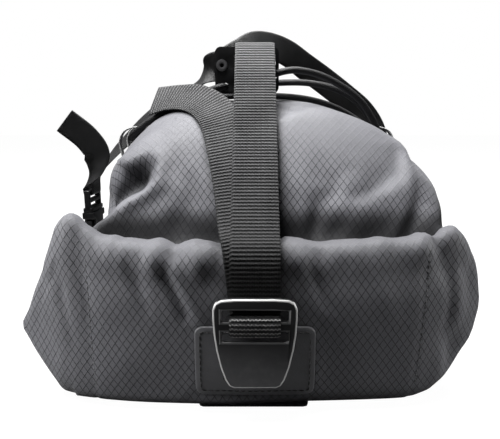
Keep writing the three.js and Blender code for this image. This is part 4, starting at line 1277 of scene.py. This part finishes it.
def make_underside():
    base = pad("base_patch", (118, 152, 14),
               lambda a, b, off: np.array([a, 128 + b, 2.4 - off]),
               thick=2.38, rings=10, edge=0.8)
    piece(base, "bag", "panel_dark", "panel", "base_panel")
    strip = pad("grip_strip_pile", (59.5, 29, 1.5),
                lambda a, b, off: np.array([a - 0.75, 31.5 + b, 2.35 - off]),
                thick=2.3, rings=8)
    piece(strip, "bag", "hook_loop", "hook_loop", "grip_strip")


def make_nose():
    """Cap over the front tip, outside then inside."""
    sides = 160
    # y, share of the section, offset from the form
    profile = [(337.0, 0.03, 1.6), (337.0, 0.5, 1.6), (337.0, 0.9, 1.4), (336.9, 0.97, 1.4),
               (336.5, 1.0, 1.3), (335.6, 1.0, 1.65), (333, 1.0, 1.75), (328, 1.0, 1.75),
               (322.6, 1.0, 1.7), (322.0, 1.0, 1.2), (322.0, 1.0, 0.4), (325, 1.0, 0.36),
               (332, 1.0, 0.36), (335.35, 1.0, 0.36), (335.38, 0.5, 0.36), (335.38, 0.03, 0.36)]
    rings, around = [], []
    for y, share, off in profile:
        section = body_point(min(y, TIP_Y), full_turn(sides), off)
        centre = np.array([0, 0, section[:, 2].mean()])
        ring = centre + (section - centre) * share
        ring[:, 1] = y
        rings.append(ring)
        around.append(np.linspace(-90, 90, sides + 1) * share)
    along = 4.0 * np.arange(1, len(profile) + 1)
    ob = ring_tube("nose_cap", np.array(rings), np.array(around), along[:, None])
    piece(ob, "bag", "panel_dark", "panel", "nose_panel")


make_buckle_patch()
make_flank_patches()
make_underside()
make_nose()

# ------------------------------------------------------------------ straps
# Stations are (x, y, z, width direction x, y, z) unless a table says otherwise.
ACROSS = (1, 0, 0)
RAIL_WIDTH, RAIL_THICK = 20, 1.2


def centred(pairs):
    """Stations on the centre line from (y, z), lying across the bag."""
    return [(0, y, z) + ACROSS for y, z in pairs]


def make_centre_strap():
    """From over the hub bar, down to the buckle, round its slot and back up to the left."""
    loop = 4.45    # radius round the bar
    bar = [(BAR_Y + loop * math.cos(a), BAR_Z + loop * math.sin(a))
           for a in np.radians([262, 290, 320, 350, 20, 50, 80, 110, 141])]
    down = [(78, 171.5), (55, 143.1), (30, 112.4), (16.5, 97.4), (9.5, 91.4), (6.0, 85),
            (4.75, 76), (4.5, 66), (4.45, 62.5), (3.8, 60.4), (2.5, 59.1)]
    slot = [(0.9, 58.6), (-0.75, 57.5), (-1.15, 55.6), (-1.15, 51.9), (-0.7, 50.1), (1.0, 48.8),
            (4.2, 48.3), (5.7, 48.9), (6.3, 50.8)]
    back_up = [(-0.4, 6.5, 60), (-1.2, 6.7, 70), (-2.2, 7.2, 80), (-3.2, 8.6, 87),
               (-4.4, 12.5, 93.2), (-6.5, 21, 100)]
    tail = [(-10, 38, 118.5, 1, 0.02, 0.05), (-15, 55, 138.8, 1, 0.05, 0.1),
            (-20.5, 69, 153.4, 1, 0.12, 0.16), (-29, 81, 162.6, 0.85, 0.34, 0.4),
            (-40.5, 90.5, 167.4, 0.55, 0.55, 0.62), (-53, 98, 167.6, 0.3, 0.68, 0.66),
            (-66, 104, 165.6, 0.05, 0.7, 0.72)]
    stations = (centred([(91.2, 185.6), (96.4, 190.6)] + bar + down + slot)
                + [point + ACROSS for point in back_up] + tail)
    ob = strap("centre_strap", stations, width=25, thick=1.25, step=0.36, columns=26, rib=0.17)
    piece(ob, "closure_strap", "webbing", "webbing", "compression_strap")


def make_hub_tab():
    """Tab sewn to the top of the bag at both ends, arched up at the hub."""
    def top(y):
        return float(pchip(y, BODY_Y, TOP_Z)) + 1.15

    stations = centred([(86, top(86)), (94, top(94) + 0.1), (98.2, 166), (99.9, 170.5),
                        (101.4, 174.2), (BAR_Y, 175.5), (106.6, 174.2), (107.4, 171),
                        (108.6, 167.6), (111, 165.9), (117, top(117) + 0.15)])
    ob = strap("hub_strap_tab", stations, width=14, thick=1.2)
    piece(ob, "bag", "flat", "webbing", "hub_tab")


def buckle_turn(x):
    """Under a side buckle's bar at x."""
    sign = math.copysign(1, x)
    return [(x + sign * d, BUCKLE_Y, z, 0, 1, 0)
            for d, z in ((-3.0, 97.9), (-1.8, 97.4), (0, 97.3), (1.8, 97.4), (3.0, 97.9))]


def make_rail_straps():
    """From the hub out and down to the side buckles, each with its free end."""
    right = [(-26.6, 108.85, 185.2, -0.45, 0, 0.88), (-21.2, 108.85, 187.9, -0.45, 0, 0.88),
             (-14.5, 110.45, 192.6, -0.5, 0, 0.86), (-7.5, 114.5, 197.6, -0.4, 0.2, 0.87),
             (0, 118.5, 202.2, -0.25, 0.25, 0.9), (10.4, 126, 203.2, 0, 0.35, 0.9),
             (23.2, 134, 199.3, 0.3, 0.35, 0.88), (36, 141, 191.3, 0.48, 0.3, 0.82),
             (51, 147.5, 182, 0.58, 0.25, 0.77), (67.5, 152, 170.5, 0.62, 0.2, 0.74),
             (82, 156, 159.5, 0.68, 0.25, 0.66), (94.5, 158, 145.5, 0.72, 0.6, 0.35),
             (102.5, BUCKLE_Y, 127, 0.3, 1, 0.1), (102.7, BUCKLE_Y, 110, 0, 1, 0),
             (102.9, BUCKLE_Y, 99.2, 0, 1, 0)]
    right_end = [(109.5, BUCKLE_Y, 99.2, 0, 1, 0), (109.2, BUCKLE_Y, 114, 0, 1, 0),
                 (108.2, BUCKLE_Y + 0.5, 128, 0.3, 1, 0.1), (105.4, 158, 138, 0.5, 0.85, 0.2)]
    left = [(-14.6, 107.0, 189.2, 0.2, 0, 1), (-21.2, 107.0, 187.8, 0.2, 0, 1),
            (-26.4, 107.1, 186.6, 0.2, 0, 1), (-31.4, 107.6, 183.2, 0.15, 0.55, 0.82),
            (-38, 111, 177.2, 0.05, 0.90, 0.42), (-46, 117.5, 173.2, 0, 0.96, 0.28),
            (-57, 131, 170.6, -0.2, 0.95, 0.2), (-77, 150, 159, -0.3, 0.92, 0.2),
            (-94.5, 159.5, 143.5, -0.5, 0.82, 0.2), (-108, 161, 131, -0.5, 0.85, 0.1),
            (-119, 158.5, 117, -0.3, 0.95, 0.05), (-124.4, 156.3, 106.5, 0, 1, 0),
            (-124.7, BUCKLE_Y, 99.2, 0, 1, 0)]
    left_end = [(-131.3, BUCKLE_Y, 99.2, 0, 1, 0), (-131.4, BUCKLE_Y, 103.5, 0, 1, 0),
                (-130.0, 154.6, 107.8, -0.25, 0.96, 0), (-127.0, 152.6, 113, -0.62, 0.78, 0),
                (-123.6, 150.6, 119.5, -0.90, 0.40, -0.05),
                (-120.6, 149.6, 129, -0.93, 0.05, -0.34),
                (-127, 149.2, 140, -0.70, 0, -0.71), (-143, 149, 153.5, -0.6, 0, -0.8)]
    for letter, side, stations in (("a", "right", right + buckle_turn(106.2) + right_end),
                                   ("b", "left", left + buckle_turn(-128) + left_end)):
        ob = strap("rail_strap_" + letter, stations, RAIL_WIDTH, RAIL_THICK, step=0.6,
                   per_span=20)
        piece(ob, "bag", "flat", "webbing", "rail_strap_" + side)


def make_buckle_tabs():
    """Tabs from the flanks up round the lower bars of the side buckles."""
    # distance from the centre line, z
    tabs = {
        "right": [(95.9, 30), (99.3, 42), (101.6, 48.5), (102.9, 52.5), (103.1, 55.9),
                  (104.3, 57.3), (106.2, 57.6), (108.1, 57.3), (109.3, 55.9), (109.2, 50.5),
                  (106.6, 44.6), (102.6, 38.5), (101.4, 35.5)],
        "left": [(95.9, 30), (101, 38), (111, 46.5), (120, 51.5), (124.2, 54.2), (124.9, 55.9),
                 (126.1, 57.3), (128, 57.6), (129.9, 57.3), (131.1, 55.9), (131, 50),
                 (127.5, 45.5), (117, 40.5), (106, 33), (101.4, 29.5)],
    }
    for sign, side in SIDES:
        stations = [(sign * x, BUCKLE_Y, z, 0, 1, 0) for x, z in tabs[side]]
        ob = strap("tab_strap_" + side, stations, RAIL_WIDTH, RAIL_THICK, step=0.5, per_span=14)
        piece(ob, "bag", "flat", "webbing", "buckle_tab_" + side)


def make_post_straps():
    """Two bands round the seatpost in front of the nose, each with a pad."""
    radius, post_y = 18.8, 356.5
    half_turn = [math.pi - math.pi * i / 12 for i in range(13)]
    path = [(-27.5, 338.3), (-21.5, 338.9), (-18.6, 342.5)]
    path += [(radius * math.cos(a), post_y + radius * math.sin(a)) for a in half_turn]
    path += [(18.6, 343.5), (20.6, 340.8), (24, 340.2), (29.5, 340.2)]
    for label, z in (("upper", 85), ("lower", 50)):
        band = strap("post_band_" + label, [(x, y, z, 0, 0, 1) for x, y in path],
                     width=22, thick=1.35, step=0.6, per_span=10)
        piece(band, "post_strap_" + label, "flat", "webbing", "seatpost_strap_" + label)
        grip = pad("post_pad_" + label, (10, 21, 1.2),
                   lambda a, b, off: np.array([23.5 + a, 337.4 + off, z + b]),
                   thick=1.55, rings=6, edge=0.3)
        piece(grip, "bag", "hook_loop", "hook_loop", "seatpost_pad_" + label)


def make_cord_loops():
    """Six tapes along the upper edges, each standing up in a loop for the cord."""
    # degrees from the loop's middle, height off the form
    arch = [(-17, 1.2), (-13.5, 1.15), (-10.5, 1.5), (-7.5, 4.6), (-3.5, 9.0), (1.5, 10),
            (6.5, 6.5), (9.5, 1.7), (12, 1.15), (15, 1.2)]
    half = 3.5
    for sign, side in SIDES:
        for place, y in LOOPS.items():
            stations = []
            for turn, off in arch:
                angle = side_angle(sign, LOOP_ANGLE + turn)
                across = skin(y + half, angle) - skin(y - half, angle)
                stations.append(tuple(skin(y, angle, off)) + tuple(across))
            ob = strap("loop_tape_%s_%s" % (place, side), stations, width=2 * half, thick=1.05,
                       step=0.45, per_span=10, columns=10, rib=0.05, rib_pitch=0.9)
            piece(ob, "bag", "webbing_grey", "webbing_grey", "cord_loop_%s_%s" % (place, side))


make_centre_strap()
make_hub_tab()
make_rail_straps()
make_buckle_tabs()
make_post_straps()
make_cord_loops()


# ------------------------------------------------------------------ elastic cord and its lock
CORD_Z = LOCK_Z + 11.2    # height of the cord through the lock


def cord_run(side, hole_x, hole_z, lead, first_arch, second_arch):
    """Points from a hub hole, across the top twice, to the lock; each arch is
    (lift, angle of its middle, width)."""
    rear, middle, front = LOOPS.values()

    def on_skin(y, angle, lift):
        return skin(y, side_angle(side, angle), lift)

    def free(x, y, z):
        return (side * x, y, z)

    def through_loop(y):
        return on_skin(y, LOOP_ANGLE + 0.6, 4.6)

    def crossing(y0, angle0, y1, angle1, lift, centre, width):
        spans = 8
        points = []
        for i in range(1, spans):
            t = i / spans
            angle = angle0 + (angle1 - angle0) * t
            points.append(on_skin(y0 + (y1 - y0) * t, angle,
                                  3.1 + lift * gauss(angle, centre, width)))
        return points

    near, far, gap = 42, 138, 7    # angles beside a loop on each side, and distance from it
    return [free(hole_x - 1.0, 109.2, hole_z), free(hole_x, 105.5, hole_z),
            free(hole_x, 101.5, hole_z), *lead,
            on_skin(105, 43, 4.2), through_loop(rear), on_skin(rear + gap, near, 4.2),
            *crossing(rear + gap, near, middle - gap, far, *first_arch),
            on_skin(middle - gap, far, 4.2), on_skin(middle, 141.4, 4.6),
            on_skin(middle + gap, far, 4.2),
            *crossing(middle + gap, far, front - gap, near, *second_arch),
            on_skin(front - gap, near, 4.2), through_loop(front), on_skin(front + 6, near, 4.2),
            on_skin(front + 8.5, 56, 4.0), on_skin(front + 9.5, 70, 6.0),
            free(7.4, 223.6, 157.4), free(3.0, 227.6, CORD_Z), free(2.75, 234, CORD_Z),
            free(2.75, 242, CORD_Z), free(3.3, 247, CORD_Z), free(5.2, 252, CORD_Z - 0.6)]


def make_cord():
    right_lead = [(13.2, 98.9, 182.3), (18.0, 97.4, 183.6), (25.5, 97.2, 184.4), (39.5, 98, 182),
                  (54.8, 99.5, 175.2), (67.8, 101.5, 166.2), (76, 103, 156)]
    left_lead = [(-21.3, 98.9, 174.4), skin(100.6, 108, 6.2), skin(102.2, 119, 3.3),
                 skin(103.5, 129, 3.3)]
    right = cord_run(1, 11.8, 182.0, right_lead, (12, 75, 30), (0, 90, 24))
    left = cord_run(-1, 19.7, 174.6, left_lead, (2, 90, 24), (6, 90, 24))
    points = [(7.6, 112.6, 179.4), *right, (0, 258.5, CORD_Z - 1.2), *left[::-1],
              (-13, 112.2, 175.6), (-3.5, 113, 176.4)]
    ob = tube("shock_cord", points, 2.15, sides=14, step=1.1, per_span=10, closed=True)
    piece(ob, "bag", "cord", "cord", "elastic_cord")


def make_lock_spring():
    """The lock's coil, which shortens under the button."""
    radius, height, turns = 5.6, 4.0, 2.5
    points = []
    for t in np.linspace(0, 1, 37):
        a = turns * TURN * t
        points.append((radius * math.cos(a), LOCK_Y + radius * math.sin(a),
                       LOCK_Z + 2.25 + height * t))
    coil = tube("cord_lock_coil", points, 0.35, sides=10, step=0.7, per_span=4)
    piece(coil, "bag", "steel", None, "cord_lock_spring")
    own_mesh(coil)


make_cord()
make_lock_spring()

# ------------------------------------------------------------------ parts kept from the CAD
# name: (material, width of the eased edge in mm)
KEPT = {
    "strap_hub": ("plastic", 0.55), "hub_rivet": ("steel", 0.15),
    "cord_lock_barrel": ("plastic", 0.4), "cord_lock_plunger": ("plastic", 0.4),
    "hook_buckle": ("buckle", 0.95), "hook_catch": ("plastic", 0.4),
    "hook_magnet": ("steel", 0.25), "catch_magnet": ("steel", 0.2),
    "closure_stiffener": ("sheet", 0.3), "base_stiffener": ("sheet", 0.3),
    "nose_stiffener": ("sheet", 0.3),
}
for _, side in SIDES:
    KEPT["side_buckle_female_" + side] = ("plastic", 0.7)
    KEPT["side_buckle_male_" + side] = ("plastic", 0.5)
    KEPT["buckle_prong_front_" + side] = ("plastic", 0.35)
    KEPT["buckle_prong_rear_" + side] = ("plastic", 0.35)


def ease_edges(ob, width):
    """Weld the faceted mesh, ease its edges and shade it smooth by angle."""
    angle = math.radians(34)
    ob.modifiers.new("weld", "WELD").merge_threshold = 2e-6
    bevel = ob.modifiers.new("ease", "BEVEL")
    bevel.width = width / 1000.0
    bevel.segments = 3 if width >= 0.5 else 2
    bevel.limit_method = "ANGLE"
    bevel.angle_limit = angle
    bevel.harden_normals = False
    bevel.use_clamp_overlap = True
    split = ob.modifiers.new("split", "EDGE_SPLIT")
    split.split_angle = angle
    split.use_edge_sharp = False
    ob.data.polygons.foreach_set("use_smooth", [True] * len(ob.data.polygons))
    return bevel


def finish_kept_parts():
    for name, (material, width) in KEPT.items():
        # a part may be in the scene under another name and carry its node's name instead
        ob = bpy.data.objects.get(name)
        if ob is None:
            ob = next((o for o in bpy.data.objects if o.get("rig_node") == name), None)
        if ob is None or ob.type != "MESH":
            continue
        use(ob, material)
        bevel = ease_edges(ob, width)
        if name == "hook_buckle":
            # its eased edges show the rubbed rim
            ob.data.materials.append(MATERIALS["rim"])
            bevel.material = 1
            bevel.use_clamp_overlap = False


finish_kept_parts()


# ------------------------------------------------------------------ floor, light and camera
def grey(level):
    return (level, level, level)


def make_floor():
    """White to the camera; to other rays mid grey near the middle and dark beyond."""
    bpy.ops.mesh.primitive_plane_add(size=12, location=(0, 0, 0))
    floor = bpy.context.object
    floor.name = "floor"
    m = Shader("floor_white")
    seen = m.node("ShaderNodeLightPath", output="Is Camera Ray")
    distance = m.node("ShaderNodeVectorMath", {0: m.position}, "Value", operation="LENGTH")
    near = m.ramp(distance, 0.17, 0.27, out=(1.0, 0.0))
    bounce = m.mix(near, grey(0.035), m.mix(m.noise(6), grey(0.29), grey(0.33)))
    m.finish(m.mix(seen, bounce, grey(0.10)), rough=0.95, spec=0.0)
    m.put(m.principled.inputs["Emission Color"], (1, 1, 1, 1))
    m.put(m.principled.inputs["Emission Strength"], seen * 0.985)
    floor.data.materials.append(m.material)


def area(name, location, target, size, power):
    """Rectangular light of size (width, height) aimed at target."""
    light = bpy.data.lights.new(name, "AREA")
    light.energy = power
    light.shape = "RECTANGLE"
    light.size, light.size_y = size
    ob = bpy.data.objects.new(name, light)
    ob.location = location
    aim = Vector(target) - Vector(location)
    ob.rotation_euler = aim.to_track_quat("-Z", "Y").to_euler()
    bpy.context.scene.collection.objects.link(ob)
    return ob


def light_only(collection_name, wanted, *lights):
    """Let the lights reach only the meshes whose name is wanted."""
    lit = bpy.data.collections.new(collection_name)
    for ob in bpy.data.objects:
        if ob.type == "MESH" and wanted(ob.name):
            lit.objects.link(ob)
    for light in lights:
        light.light_linking.receiver_collection = lit


def make_lights():
    area("top_soft", (-0.14, 0.06, 1.20), (0, 0.0, 0.10), size=(0.95, 0.42), power=44)
    slope = area("slope_soft", (-0.48, -0.66, 1.12), (0, -0.08, 0.12), size=(0.8, 0.4), power=38)
    area("front_fill", (-0.35, -1.7, 0.55), (0, 0, 0.06), size=(0.9, 0.6), power=0.15)
    left = area("left_rim", (-0.37, -0.236, 0.20), (-0.10, -0.16, 0.05), size=(0.16, 0.20),
                power=2.45)
    right = area("right_rim", (0.56, -0.203, 0.19), (0.10, -0.16, 0.05), size=(0.22, 0.22),
                 power=2.3)
    left.visible_camera = False
    right.visible_camera = False
    # the sloping light reaches only the shell, the flank pieces and the cord loops
    light_only("slope_lit",
               lambda name: name == "bag_shell" or name.startswith(("flank_", "loop_tape")),
               slope)
    # the low side lights reach only the roll, its patch and the buckle
    light_only("roll_lit", lambda name: name in ("roll_cloth", "buckle_patch", "hook_buckle"),
               right, left)


def make_world():
    """White to the camera, a faint glow to everything else."""
    glow, seen_level = 0.034, 1.0
    world = bpy.context.scene.world or bpy.data.worlds.new("World")
    bpy.context.scene.world = world
    world.use_nodes = True
    tree = world.node_tree
    background = tree.nodes["Background"]
    path = tree.nodes.new("ShaderNodeLightPath")
    mix = tree.nodes.new("ShaderNodeMix")
    mix.data_type = "FLOAT"
    mix.inputs[2].default_value = glow
    mix.inputs[3].default_value = seen_level
    tree.links.new(path.outputs["Is Camera Ray"], mix.inputs[0])
    background.inputs[0].default_value = (1, 1, 1, 1)
    tree.links.new(mix.outputs[0], background.inputs[1])


def make_camera():
    """Behind the bag, looking forward and a little down."""
    camera = bpy.data.cameras.new("cam")
    camera.lens = 34.56
    camera.sensor_width = 36
    camera.shift_x = -0.01
    camera.clip_start = 0.01
    ob = bpy.data.objects.new("cam", camera)
    ob.location = (0, -0.39887, 0.15136)
    ob.rotation_euler = (math.radians(90 - 11.32), 0, 0)
    bpy.context.scene.collection.objects.link(ob)
    bpy.context.scene.camera = ob


make_floor()
make_lights()
make_world()
bpy.context.scene.view_settings.view_transform = "Standard"
bpy.context.scene.view_settings.look = "None"
make_camera()
